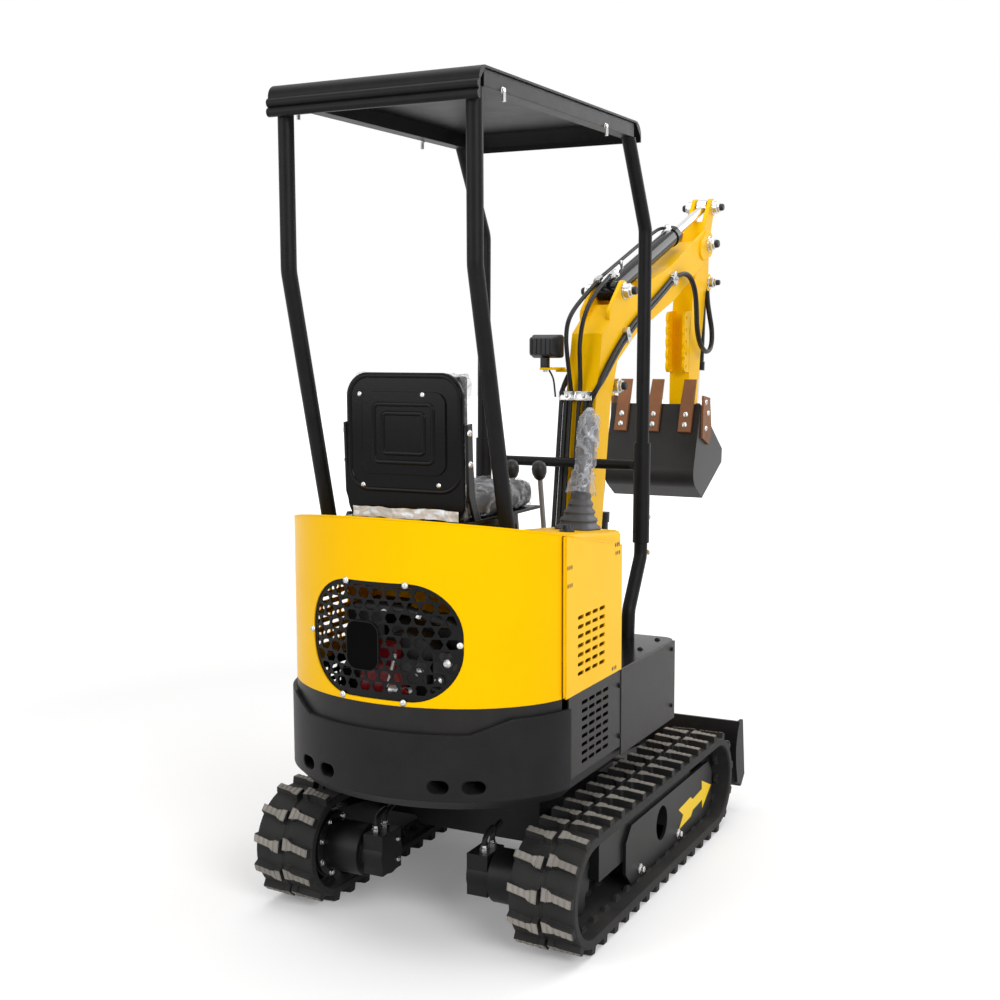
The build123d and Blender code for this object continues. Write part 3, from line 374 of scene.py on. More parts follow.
dustColor = (0.10, 0.092, 0.082)
finishes = {
    "yellowPaint": dict(
        color=(0.92, 0.515, 0.001), shade=(0.89, 0.49, 0.001), rough=0.36, specular=0.12,
        tint=(1.0, 0.72, 0.08), grain=260.0, depth=0.00005, round=0.003, wear=0.2,
        wearColor=(0.62, 0.36, 0.01), breakup=35.0,
    ),
    "blackPaint": dict(
        color=(0.0045, 0.0045, 0.005), shade=(0.008, 0.008, 0.0085), rough=0.44, grain=900.0, depth=0.0002,
        specular=0.11, round=0.0025, wear=0.25, wearColor=(0.04, 0.04, 0.04), dust=0.04, dustTop=0.7,
        settled=0.02,
    ),
    "satinPanel": dict(
        color=(0.0115, 0.0108, 0.0105), shade=(0.016, 0.015, 0.0145), rough=0.42, grain=1100.0,
        depth=0.00018, specular=0.17, round=0.0025, wear=0.25, wearColor=(0.05, 0.05, 0.05), dust=0.04,
        dustTop=0.8, settled=0.02,
    ),
    "glossBlack": dict(
        color=(0.004, 0.004, 0.0045), shade=(0.006, 0.006, 0.0065), rough=0.2, grain=500.0, depth=0.00005,
        specular=0.16, round=0.003, wear=0.2, wearColor=(0.05, 0.05, 0.05),
    ),
    "castWeight": dict(
        color=(0.006, 0.006, 0.0065), shade=(0.011, 0.011, 0.0115), rough=0.5, grain=320.0, depth=0.0005,
        specular=0.14, round=0.008, wear=0.25, wearColor=(0.04, 0.04, 0.04), wearRadius=0.006, dust=0.04,
        dustTop=0.6,
    ),
    "runningGear": dict(
        color=(0.005, 0.005, 0.0055), shade=(0.010, 0.0098, 0.0095), rough=0.42, grain=500.0, depth=0.0003,
        specular=0.16, round=0.003, wear=0.3, wearColor=(0.05, 0.047, 0.044), dust=0.07, dustTop=0.45,
        settled=0.04,
    ),
    "trackRubber": dict(
        color=(0.012, 0.012, 0.012), shade=(0.022, 0.0215, 0.021), rough=0.7, grain=420.0, depth=0.0006,
        specular=0.18, round=0.002, wear=0.5, wearColor=(0.07, 0.066, 0.062), wearRadius=0.004,
        dust=0.09, dustTop=0.5,
    ),
    "lugTip": dict(
        color=(0.30, 0.28, 0.25), shade=(0.17, 0.155, 0.14), rough=0.85, roughSpan=0.1, grain=260.0,
        depth=0.0008, specular=0.2, round=0.002, wear=0.4, wearColor=(0.08, 0.075, 0.07),
    ),
    "rodChrome": dict(
        color=(0.80, 0.81, 0.83), shade=(0.70, 0.71, 0.73), rough=0.12, roughSpan=0.04, metal=1.0,
        grain=700.0, depth=0.00002,
    ),
    "zincPlate": dict(
        color=(0.66, 0.66, 0.65), shade=(0.42, 0.42, 0.41), rough=0.34, roughSpan=0.12, metal=1.0,
        grain=600.0, depth=0.0001, round=0.0008,
    ),
    "hoseRubber": dict(
        color=(0.008, 0.008, 0.009), shade=(0.014, 0.014, 0.015), rough=0.45, grain=1500.0, depth=0.0002,
        round=0.0005, specular=0.18,
    ),
    "seatVinyl": dict(
        color=(0.008, 0.008, 0.009), shade=(0.013, 0.013, 0.014), rough=0.42, grain=1300.0, depth=0.0004,
        round=0.001, specular=0.35,
    ),
    "seatShell": dict(
        color=(0.0022, 0.0022, 0.0026), shade=(0.004, 0.004, 0.0045), rough=0.16, grain=300.0,
        depth=0.0001, round=0.003, specular=0.10,
    ),
    "bootRubber": dict(
        color=(0.055, 0.055, 0.060), shade=(0.075, 0.076, 0.082), rough=0.55, grain=900.0, depth=0.0002,
        round=0.0015, specular=0.3,
    ),
    "gripPlastic": dict(
        color=(0.008, 0.008, 0.009), shade=(0.013, 0.013, 0.014), rough=0.45, grain=1200.0, depth=0.0002,
        round=0.001, specular=0.3,
    ),
    "bareSteel": dict(
        color=(0.24, 0.095, 0.035), shade=(0.15, 0.06, 0.025), rough=0.62, roughSpan=0.15, grain=300.0,
        depth=0.0005, specular=0.3, round=0.002, wear=0.5, wearColor=(0.36, 0.19, 0.09),
    ),
    "bucketPaint": dict(
        color=(0.009, 0.0085, 0.0085), shade=(0.018, 0.017, 0.0165), rough=0.38, grain=260.0,
        depth=0.0003, round=0.003, specular=0.18, wear=0.45, wearColor=(0.12, 0.09, 0.07),
    ),
    "engineRed": dict(
        color=(0.17, 0.004, 0.007), shade=(0.11, 0.003, 0.005), rough=0.35, grain=300.0, depth=0.0001,
        specular=0.3,
    ),
    "engineDark": dict(
        color=(0.008, 0.008, 0.0085), shade=(0.016, 0.0155, 0.015), rough=0.5, grain=300.0, depth=0.0004,
        round=0.003, specular=0.3,
    ),
    # near-black, rough and almost without reflection: painted shade for the inside of the exhaust opening
    "paintedShadeHollow": dict(
        color=(0.001, 0.001, 0.001), shade=(0.002, 0.002, 0.002), rough=0.9, grain=300.0, depth=0.00005,
        specular=0.04,
    ),
    "castAlloy": dict(
        color=(0.50, 0.50, 0.50), shade=(0.34, 0.34, 0.33), rough=0.45, metal=0.9, grain=400.0,
        depth=0.0004, round=0.002,
    ),
    "dullSteel": dict(
        color=(0.20, 0.20, 0.21), shade=(0.13, 0.13, 0.14), rough=0.5, metal=0.3, grain=500.0,
        depth=0.0002, round=0.001, specular=0.3,
    ),
    "arrowYellow": dict(
        color=(0.93, 0.62, 0.002), shade=(0.90, 0.58, 0.002), rough=0.4, grain=300.0, depth=0.00005,
        round=0.0003, specular=0.15, wear=0.25, wearColor=(0.20, 0.14, 0.01), wearRadius=0.0015,
    ),
}
skins = {name: makeFinish(name, look) for name, look in finishes.items()}
print("finishes made:", len(skins))


# finishes on the fixed frame's own nodes

dressed = {
    "yellowPaint": [
        "rear_cover", "hood", "side_panel_left", "side_panel_right", "front_wall", "boom", "arm",
        "thumb_bracket", "boom_bracket",
    ],
    "satinPanel": [
        "lower_panel_left", "lower_panel_right", "front_panel_left", "front_panel_right", "rear_band",
    ],
    "blackPaint": [
        "canopy_front_posts", "canopy_rear_posts", "canopy_rails", "canopy_roof", "handlebar", "grille",
        "blade", "rocker", "bucket_link", "work_light", "deck",
    ],
    "glossBlack": [
        "floor_plate", "boom_cylinder_barrel", "arm_cylinder_barrel", "bucket_cylinder_barrel",
        "blade_cylinder_barrel",
    ],
    "rodChrome": ["boom_cylinder_rod", "arm_cylinder_rod", "bucket_cylinder_rod", "blade_cylinder_rod"],
    "castWeight": ["counterweight"],
    "runningGear": [
        "car_body", "track_frame_left", "track_frame_right", "track_wheels_left", "track_wheels_right",
        "travel_motors", "slew_ring",
    ],
    "seatShell": ["seat_pan"],
    "bucketPaint": ["bucket"],
    "bareSteel": ["bucket_teeth"],
    "engineDark": ["engine"],
}
for finish, names in dressed.items():
    for name in names:
        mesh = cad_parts[name].data
        mesh.materials.clear()
        mesh.materials.append(skins[finish])
print("frame dressed")


# rubber tracks: a belt with two rows of slanted lugs

belt = dict(
    lug=0.020, bendTrim=0.002, thick=0.023, links=37, straightSteps=44, bendSteps=30, sink=0.004,
    flare=0.0035, tipFlare=0.0012, ribs=5, ribStart=0.008, ribPitch=0.0162, ribWidth=0.0115,
    ribHeight=0.0013, guideHeight=0.014,
)
beltSection = [
    (-0.090, -0.020), (-0.090, -0.003), (-0.086, 0.0), (-0.007, 0.0), (-0.004, -0.003), (0.004, -0.003),
    (0.007, 0.0), (0.086, 0.0), (0.090, -0.003), (0.090, -0.020), (0.086, -0.023), (-0.086, -0.023),
]
lugTop = [
    (0.006, -0.011), (0.006, 0.022), (0.021, 0.020), (0.025, 0.013), (0.087, 0.001), (0.087, -0.019),
    (0.025, -0.005), (0.021, -0.012),
]
guideFoot = [(0.035, -0.018), (0.035, 0.018), (0.049, 0.018), (0.049, -0.018)]
guideCrest = [(0.038, -0.008), (0.038, 0.008), (0.046, 0.008), (0.046, -0.008)]


class Loop:
    def __init__(self, node):
        low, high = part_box(node)
        tip = (high.z - low.z) / 2
        self.radius = tip - belt["lug"]
        self.wheelZ = (high.z + low.z) / 2
        self.rear = low.x + tip - belt["bendTrim"]
        self.front = high.x - tip + belt["bendTrim"]
        self.middleY = (low.y + high.y) / 2
        self.straight = self.front - self.rear
        self.bend = math.pi * self.radius
        self.length = 2 * (self.straight + self.bend)

    def at(self, distance):
        distance %= self.length
        if distance < self.straight:
            return Vector((self.front - distance, 0, self.wheelZ)), -math.pi / 2, False
        distance -= self.straight
        if distance < self.bend:
            return Vector((self.rear, 0, self.wheelZ)), -math.pi / 2 - distance / self.radius, True
        distance -= self.bend
        if distance < self.straight:
            return Vector((self.rear + distance, 0, self.wheelZ)), math.pi / 2, False
        distance -= self.straight
        return Vector((self.front, 0, self.wheelZ)), math.pi / 2 - distance / self.radius, True


def lugFrame(loop, distance, row, depth):
    center, angle, bent = loop.at(distance)
    outward = Vector((math.cos(angle), 0, math.sin(angle)))
    across = Vector((0, row, 0))
    along = outward.cross(across)
    origin = center + outward * (loop.radius - depth) + Vector((0, loop.middleY, 0))
    columns = Matrix((across, along, outward)).transposed().to_4x4()
    return Matrix.Translation(origin) @ columns, bent


def flared(outline, amount):
    wider = []
    for x, y in outline:
        outer = x > 0.05  # the lug's outer end also grows sideways
        wider.append((x + (amount if outer else 0) * 0.2, y + math.copysign(amount, y + 0.004 * outer)))
    return wider


def addLug(bm, where, height):
    top = belt["sink"] + height - belt["ribHeight"]
    foot, shoulder = flared(lugTop, belt["flare"]), flared(lugTop, belt["tipFlare"])
    addStack(bm, [(foot, 0.0), (shoulder, top - 0.003), (lugTop, top)], where, 0, 1)
    for i in range(belt["ribs"]):
        near = belt["ribStart"] + i * belt["ribPitch"]
        far = near + belt["ribWidth"]
        rib = []
        for x, edge in ((near, 1), (far, 1), (far, -1), (near, -1)):
            slope = 0.012 * max(0.0, x - 0.025) / 0.062
            high = 0.012 - slope if x > 0.025 else 0.019
            low = -0.006 - 1.1 * slope if x > 0.025 else -0.010
            rib.append((x, high if edge > 0 else low))
        rib.reverse()
        addStack(bm, [(rib, top - 0.0005), (rib, top + belt["ribHeight"])], where, 1, 1)


def makeTrack(name, node):
    loop = Loop(node)
    bm = bmesh.new()
    stops = [loop.straight * i / belt["straightSteps"] for i in range(belt["straightSteps"])]
    stops += [loop.straight + loop.bend * i / belt["bendSteps"] for i in range(belt["bendSteps"])]
    stops += [loop.length / 2 + stop for stop in stops]
    rings = []
    for stop in stops:
        center, angle, _ = loop.at(stop)
        outward = Vector((math.cos(angle), 0, math.sin(angle)))
        ring = []
        for across, rise in beltSection:
            point = center + outward * (loop.radius + rise) + Vector((0, loop.middleY + across, 0))
            ring.append(bm.verts.new(point))
        rings.append(ring)
    joinRings(bm, rings, 0, True)
    pitch = loop.length / belt["links"]
    for link in range(belt["links"]):
        for row in (1, -1):
            where, bent = lugFrame(loop, link * pitch, row, belt["sink"])
            addLug(bm, where, belt["lug"] - (belt["bendTrim"] if bent else 0))
            inside, _ = lugFrame(loop, (link + 0.5) * pitch, row, belt["thick"] - 0.002)
            addStack(bm, [(guideCrest, -belt["guideHeight"]), (guideFoot, 0.0)], inside, 0)
    finishPiece(name, bm, "undercarriage", ["trackRubber", "lugTip"], [node], 30)


makeTrack("trackLoopLeft", "track_left")
makeTrack("trackLoopRight", "track_right")
print("tracks made")


# undercarriage fittings: motor flanges, bolts, elbows and the direction arrows

motor = dict(
    x=-0.460, z=0.160, flange=0.088, bolts=8, boltCircle=0.077, ports=(-0.020, 0.025), portY=0.165,
    portZ=0.222, endBolts=(0.033, -0.024), endY=0.127,
    union=[(0.012, -0.002), (0.012, 0.010), (0.009, 0.012), (0.009, 0.018)],
    elbow=[(0, 0, 0.016), (0, 0, 0.046), (0.05, 0, 0.050)],
    washer=[(0.015, -mm), (0.015, 0.003), (0.013, 0.004)],
)
rollerBolts = [(-0.060, 0.076), (0.251, 0.076)]


def makeUndercarriageFittings():
    steel = bmesh.new()
    for sign in (1, -1):
        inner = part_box("track_frame_left")[0].y * sign  # carrier plate's inner face
        axis = (0, -sign, 0)
        face = Vector((motor["x"], inner, motor["z"]))
        ring = [
            (0.071, -0.004), (motor["flange"], -0.004), (motor["flange"], 0.010), (0.074, 0.014),
            (0.071, 0.014),
        ]
        addLathe(steel, ring, place(face, axis), 40, 1)
        for i in range(motor["bolts"]):
            angle = 2 * math.pi * (i + 0.5) / motor["bolts"]
            spoke = Vector((math.cos(angle), 0, math.sin(angle)))
            addBolt(steel, face + spoke * motor["boltCircle"] + Vector(axis) * 0.012, axis, 9 * mm, 0)
        for x in motor["ports"]:
            port = Vector((motor["x"] + x, sign * motor["portY"], motor["portZ"]))
            addLathe(steel, motor["union"], place(port), 6, 0)
            elbow = [port + Vector(step) for step in motor["elbow"]]
            addTube(steel, smoothPath(elbow), 0.0075, 12, 1)
        for rise in motor["endBolts"]:
            addBolt(steel, (motor["x"] + 0.03, sign * motor["endY"], motor["z"] + rise), axis, 7 * mm, 0)
        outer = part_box("track_frame_left")[1].y * sign
        for x, z in rollerBolts:
            addLathe(steel, motor["washer"], place((x, outer, z), (0, sign, 0)), 24, 0)
            addBolt(steel, (x, outer + sign * 0.004, z), (0, sign, 0), 12 * mm, 0)
    finishPiece(
        "undercarriageFittings", steel, "undercarriage", ["zincPlate", "runningGear"]
    )


arrow = dict(
    tail=(0.258, 0.1165), tip=(0.556, 0.1375), flare=0.031, flareLength=0.106, shaft=0.0175, head=0.045,
    headLength=0.086, notch=0.040, thick=0.0006,
)


def makeArrows():
    bm = bmesh.new()
    tail, tip = Vector(arrow["tail"]), Vector(arrow["tip"])
    along = (tip - tail).normalized()
    side = Vector((-along.y, along.x))
    neck = tip - along * arrow["headLength"]
    step = tail + along * arrow["flareLength"]
    edge = [(tail, arrow["flare"]), (step, arrow["flare"]), (step + along * 0.02, arrow["shaft"])]
    edge += [(neck, arrow["shaft"]), (neck, arrow["head"])]
    shape = [point + side * half for point, half in edge] + [tip]
    shape += [point - side * half for point, half in reversed(edge)] + [tail + along * arrow["notch"]]
    for node, sign in (("track_frame_left", 1), ("track_frame_right", -1)):
        low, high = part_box(node)
        face = high.y if sign > 0 else low.y
        rings = []
        for depth in (-0.0003, arrow["thick"]):
            rings.append([bm.verts.new((p.x, face + sign * depth, p.y)) for p in shape])
        bridge(bm, rings[0], rings[1], 0)
        for ring in rings:
            bm.faces.new(ring)
    finishPiece("directionArrows", bm, "undercarriage", ["arrowYellow"])


makeUndercarriageFittings()
makeArrows()
print("undercarriage fitted")


# house: panel bolts, small slots drawn as dark patches of painted shade, engine parts, wedges under the
# sticks and panel seams

hood = dict(atAxis=0.971, slope=0.2)


def hoodHeight(x):
    return hood["atAxis"] - hood["slope"] * x


houseTail = dict(centerX=-0.414, depth=0.314, half=0.401)


def tailPoint(y, z, proud=0.0):
    share = math.sqrt(max(0.0, 1 - (y / houseTail["half"]) ** 2))
    normal = Vector((-share / houseTail["depth"], y / houseTail["half"] ** 2, 0)).normalized()
    return Vector((houseTail["centerX"] - houseTail["depth"] * share, y, z)) + normal * proud, normal


houseBolts = dict(
    grille=[
        (0.091, 0.955), (-0.079, 0.954), (0.222, 0.813), (-0.208, 0.811), (0.107, 0.665), (-0.071, 0.664),
    ],
    lower=[(-0.136, 0.612), (-0.136, 0.472)], front=[(0.27, 0.46), (0.27, 0.63)],
    floor=[(-0.05, 0.36, 0.656), (0.12, 0.36, 0.656), (0.26, 0.36, 0.656)],
)


def makeHouseBolts():
    bm = bmesh.new()
    for y, z in houseBolts["grille"]:
        spot, normal = tailPoint(y, z)
        addButton(bm, spot, normal, 9 * mm, 0)
    for sign in (1, -1):
        axis = (0, sign, 0)
        for x, z in houseBolts["lower"]:
            addBolt(bm, (x, sign * (houseTail["half"] - 0.002), z), axis, 8 * mm, 1)
        for x, z in houseBolts["front"]:
            addBolt(bm, (x, sign * houseTail["half"], z), axis, 7 * mm, 1)
        for x, y, z in houseBolts["floor"]:
            addButton(bm, (x, sign * y, z), (0, 0, 1), 9 * mm, 1)
    finishPiece("houseBolts", bm, "house", ["zincPlate", "blackPaint"])


slotGroups = [(-0.469, 0.983), (-0.468, 0.938), (-0.160, 1.000), (-0.157, 0.978), (-0.178, 0.669)]


def makeSlotShadeMarks():
    bm = bmesh.new()
    # each slot is a flat near-black patch in hose rubber laid on the panel: painted shade in place of the
    # opening
    slot = [(0.0035 * math.cos(angle), 0.006 * math.sin(angle)) for angle in turns(12)]
    for sign in (1, -1):
        for x, z in slotGroups:
            for dx in (-0.012, 0.0, 0.012):
                where = place((x + dx, sign * houseTail["half"], z), (0, sign, 0))
                addStack(bm, [(slot, -0.001), (slot, 0.0002)], where, 0)
    finishPiece("panelSlotShade", bm, "house", ["hoseRubber"])


# engine parts that show through the grille, and the exhaust opening in it, drawn as a rim around a flat
# near-black plate of painted shade

engineParts = dict(
    face=-0.652, mouth=(0.043, 0.796), mouthSize=(0.098, 0.124),
    blocks=[
        ((-0.026, -0.028, 0.640), (0.004, 0.062, 0.800), 0, 0.012),
        ((-0.030, -0.115, 0.700), (0.002, -0.035, 0.765), 1, 0.008),
        ((-0.024, -0.215, 0.690), (0.002, -0.125, 0.790), 1, 0.010),
    ],
    drum=[(0.066, 0.0), (0.066, 0.020), (0.058, 0.032), (0.020, 0.034)],
    cans=[(-0.028, 0.015), (-0.066, 0.012)], plug=[(0.011, -0.002), (0.011, 0.010), (0.006, 0.016)],
    plugs=[(-0.095, 0.735), (-0.150, 0.720), (-0.175, 0.765)], bolts=[(0.005, 0.875), (-0.093, 0.875)],
    pipes=[
        (0.009, [(0.02, -0.12, 0.700), (0.04, -0.16, 0.690), (0.03, -0.19, 0.68), (0, -0.2, 0.63)]),
        (0.012, [(0, 0.10, 0.88), (0.02, 0.04, 0.888), (0.02, -0.12, 0.878), (0, -0.21, 0.84)]),
    ],
)


def makeEngineParts():
    bm = bmesh.new()
    face = engineParts["face"]
    for low, high, index, edge in engineParts["blocks"]:
        addBlock(bm, (face + low[0], *low[1:]), (face + high[0], *high[1:]), index, edge)
    addLathe(bm, engineParts["drum"], place((face - 0.006, 0.016, 0.690), (-1, 0, 0)), 40, 0)
    rod = [Vector((face - 0.036, -0.006, 0.690)), Vector((face - 0.036, -0.030, 0.775))]
    addTube(bm, rod, 0.005, 10, 2)
    for y, size in engineParts["cans"]:
        can = [(size, -0.014), (size, 0.014), (0.6 * size, 0.018)]
        addLathe(bm, can, place((face - 0.034, y, 0.682), (0, -1, 0.05)), 20, 2)
    addLathe(bm, [(0.010, -0.006), (0.010, 0.006)], place((face - 0.048, -0.062, 0.684), (-1, 0, 0)), 16, 0)
    for y, z in engineParts["plugs"]:
        addLathe(bm, engineParts["plug"], place((face - 0.028, y, z), (-1, 0, 0)), 16, 2)
    for radius, route in engineParts["pipes"]:
        addTube(bm, smoothPath([(face - back, y, z) for back, y, z in route]), radius, 12, 1)
    for y, z in engineParts["bolts"]:
        addBolt(bm, (face - 0.030, y, z), (-1, 0, 0), 9 * mm, 3)
    finishPiece(
        "engineParts", bm, "house",
        ["engineRed", "engineDark", "castAlloy", "zincPlate"],
    )


def makeExhaustMouth():
    bm = bmesh.new()
    middleY, middleZ = engineParts["mouth"]
    wide, tall = engineParts["mouthSize"]
    rings = []
    for inset, proud in ((0.0, -0.002), (0.0, 0.0016), (0.0025, 0.0016), (0.0025, 0.0006)):
        ring = []
        for y, z in roundedOutline(wide - 2 * inset, tall - 2 * inset, 0.030 - inset):
            ring.append(bm.verts.new(tailPoint(middleY + y, middleZ + z, proud)[0]))
        rings.append(ring)
    joinRings(bm, rings, 0)
    # the cap is a flat near-black plate: painted shade standing in for the hollow of the opening
    capEnds(bm, rings, 1)
    finishPiece("exhaustMouth", bm, "house", ["blackPaint", "paintedShadeHollow"])


console = dict(
    rear=-0.430, front=-0.106, inner=0.212, outer=0.388, rearZ=1.0590, frontZ=1.0330, lift=0.024,
    rings=[(0.0, None), (0.0, 0.012), (0.004, 0.004), (0.012, 0.0)],
    knob=[(0.020, -0.004), (0.020, 0.004), (0.012, 0.008), (0.009, 0.018), (0.0, 0.020)],
)


def makeConsoles():
    bm = bmesh.new()
    for sign in (1, -1):
        rings = []
        for inset, drop in console["rings"]:
            near, far = sign * (console["inner"] + 0.4 * inset), sign * (console["outer"] - inset)
            rear, front = console["rear"] + inset, console["front"] - inset
            if drop is None:  # the foot ring sits just inside the sloping hood
                rearZ, frontZ = hoodHeight(rear) - 0.004, hoodHeight(front) - 0.004
            else:
                rearZ, frontZ = console["rearZ"] - drop, console["frontZ"] - drop
            corners = [(rear, near, rearZ), (rear, far, rearZ), (front, far, frontZ), (front, near, frontZ)]
            rings.append([bm.verts.new(corner) for corner in corners])
        joinRings(bm, rings, 0)
        capEnds(bm, rings, 0)
        cap = Vector((-0.330, sign * 0.330, console["rearZ"] - 0.008))
        addLathe(bm, console["knob"], place(cap), 24, 1)
    finishPiece("armConsoles", bm, "house", ["yellowPaint", "gripPlastic"])


def makeSeams():
    bm = bmesh.new()
    for sign, node in ((1, "side_panel_left"), (-1, "side_panel_right")):
        low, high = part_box(node)
        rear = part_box("rear_cover")[1].x
        face = high.y if sign > 0 else low.y
        near, far = sorted((face - sign * 0.0035, face - sign * 0.0065))
        addBlock(bm, (rear - 0.006, near, low.z + 0.004), (low.x + 0.006, far, hoodHeight(low.x) - 0.006), 0)
    finishPiece("panelSeams", bm, "house", ["yellowPaint"])


makeHouseBolts()
makeSlotShadeMarks()
makeExhaustMouth()
makeEngineParts()
makeConsoles()
makeSeams()
print("house fitted")


# canopy: bolts on the rails and the post sleeves

canopyBolts = dict(
    rail=[-0.60, 0.02], railZ=2.118, shankZ=2.112, sleeve=[1.006, 0.898], sleeveX=0.356, sleeveY=0.269,
    proud=0.0245,
)


def makeCanopyBolts():
    bm = bmesh.new()
    low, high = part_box("canopy_rails")
    for sign in (1, -1):
        outer = high.y if sign > 0 else low.y
        for x in canopyBolts["rail"]:
            addBolt(bm, (x, outer, canopyBolts["railZ"]), (0, sign, 0), 8 * mm)
            shank = place((x, outer + sign * 0.004, canopyBolts["shankZ"]))
            addLathe(bm, [(0.005, -0.02), (0.005, 0.0)], shank, 8)
        for z in canopyBolts["sleeve"]:
            lean = canopyBolts["sleeveX"] + (z - 0.95) * 0.0166  # the post leans forward as it rises
            direction = Vector((0.72, sign * 0.69, 0))
            center = Vector((lean, sign * canopyBolts["sleeveY"], z))
            addBolt(bm, center + direction * canopyBolts["proud"], direction, 8 * mm)
    finishPiece("canopyBolts", bm, "house", ["zincPlate"])


makeCanopyBolts()
print("canopy fitted")


# seat: pressed shell fixings, stuffed vinyl cushions and loose clear film

def makeFilm(name, haze, creaseAndSheenAmount, color=(0.46, 0.48, 0.52, 1)):
    material, tree, shader = newMaterial(name)
    coords = tree.nodes.new("ShaderNodeTexCoord").outputs["Object"]
    folds = noiseNode(tree, coords, 15.0, 2.5, 0.6)
    crease = mathNode(tree, "ABSOLUTE", mathNode(tree, "SUBTRACT", folds, 0.5))
    # whitish lines along the fold contours, made more opaque over a pale base: partly the crumpled film's
    # own whitening, partly painted highlight for light caught in the folds
    creaseAndSheen = rangeNode(tree, crease, 0.05, 0.0)
    cloud = rangeNode(tree, noiseNode(tree, coords, 9.0, 3.0, 0.6), 0.35, 0.75, *haze)
    alpha = mathNode(tree, "ADD", cloud, mathNode(tree, "MULTIPLY", creaseAndSheen, creaseAndSheenAmount), True)
    bump = tree.nodes.new("ShaderNodeBump")
    bump.inputs["Distance"].default_value = 0.010
    tree.links.new(folds, bump.inputs["Height"])
    tree.links.new(alpha, shader.inputs["Alpha"])
    tree.links.new(bump.outputs["Normal"], shader.inputs["Normal"])
    shader.inputs["Base Color"].default_value = color
    shader.inputs["Roughness"].default_value = 0.14
    shader.inputs["Specular IOR Level"].default_value = 0.7
    return material


skins["clearFilm"] = makeFilm("clearFilm", (0.04, 0.26), 0.34)
skins["stickFilm"] = makeFilm("stickFilm", (0.16, 0.46), 0.40)
skins["paleFilm"] = makeFilm("paleFilm", (0.72, 0.92), 0.20, (0.66, 0.70, 0.78, 1))

film = dict(
    lift=0.003, gap=Vector((0.004, 0.005, 0.004)), rearGap=Vector((0, 0.005, 0.004)), cells=34,
    skirtFoot=1.098, skirtHeight=0.026,
)
seat = dict(
    inset=0.006, cuts=12, crown=0.03, voxel=0.006, pressure=4.0, frames=20, cap=0.012, groove=0.007,
    grooveWidth=0.006,
)


def softBlock(low, high):
    bm = bmesh.new()
    bmesh.ops.create_cube(bm, size=1.0)
    bmesh.ops.subdivide_edges(bm, edges=bm.edges[:], cuts=seat["cuts"], use_grid_fill=True)
    middle, half = (low + high) / 2, (high - low) / 2
    for vert in bm.verts:
        unit = vert.co * 2
        pull = 1 - 0.02 * (unit.x ** 2 + unit.y ** 2 + unit.z ** 2 - 1)
        crown = 1 + seat["crown"] * (1 - unit.x ** 2) * (1 - unit.y ** 2) * (1 - unit.z ** 2)
        vert.co = middle + Vector(half[k] * unit[k] for k in range(3)) * min(1.0, pull * crown)
    return bm


def inflate(piece):
    start = [vert.co.copy() for vert in piece.data.vertices]
    cloth = piece.modifiers.new("stuffing", "CLOTH")
    cloth.settings.use_pressure = True
    cloth.settings.uniform_pressure_force = seat["pressure"]
    cloth.settings.effector_weights.gravity = 0
    cloth.settings.quality = 4
    for step in range(1, seat["frames"] + 1):
        scene.frame_set(step)
    graph = bpy.context.evaluated_depsgraph_get()
    swollen = bpy.data.meshes.new_from_object(piece.evaluated_get(graph))
    moved = [vert.co.copy() for vert in swollen.vertices]
    piece.modifiers.clear()
    scene.frame_set(1)
    for vert, rest, now in zip(piece.data.vertices, start, moved):
        shift = now - rest
        vert.co = rest + shift * min(1.0, seat["cap"] / max(shift.length, 1e-9))
    bpy.data.meshes.remove(swollen)


def makeCushion(name, node, bulgeAxis, channels):
    low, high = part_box(node)
    inset = Vector((seat["inset"],) * 3)
    piece = newPiece(name, softBlock(low + inset, high - inset))
    remesh = piece.modifiers.new("voxels", "REMESH")
    remesh.mode = "VOXEL"
    remesh.voxel_size = seat["voxel"]
    graph = bpy.context.evaluated_depsgraph_get()
    piece.data = bpy.data.meshes.new_from_object(piece.evaluated_get(graph))
    piece.modifiers.clear()
    inflate(piece)
    middle, half = (low + high) / 2, (high - low) / 2
    across = 1 if bulgeAxis == 2 else 2
    for vert in piece.data.vertices:
        unit = Vector((vert.co[k] - middle[k]) / half[k] for k in range(3))
        face = max(0.0, unit[bulgeAxis])
        for line in channels:
            groove = math.exp(-(((unit[across] - line) * half[across]) / seat["grooveWidth"]) ** 2)
            vert.co[bulgeAxis] -= seat["groove"] * groove * face ** 3
        for k in range(3):
            vert.co[k] = min(max(vert.co[k], low[k]), high[k])
    piece.data.name = name
    piece.data.materials.append(skins["seatVinyl"])
    piece.data.shade_smooth()
    smooth = piece.modifiers.new("smooth", "SUBSURF")
    smooth.levels = smooth.render_levels = 1
    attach(piece, "house")
    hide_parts(node)
    return piece


cushionPad = makeCushion("seatCushionPad", "seat_cushion", 2, (-0.5, 0.5))
backPad = makeCushion("seatBackPad", "seat_back", 0, (-0.4, 0.35))


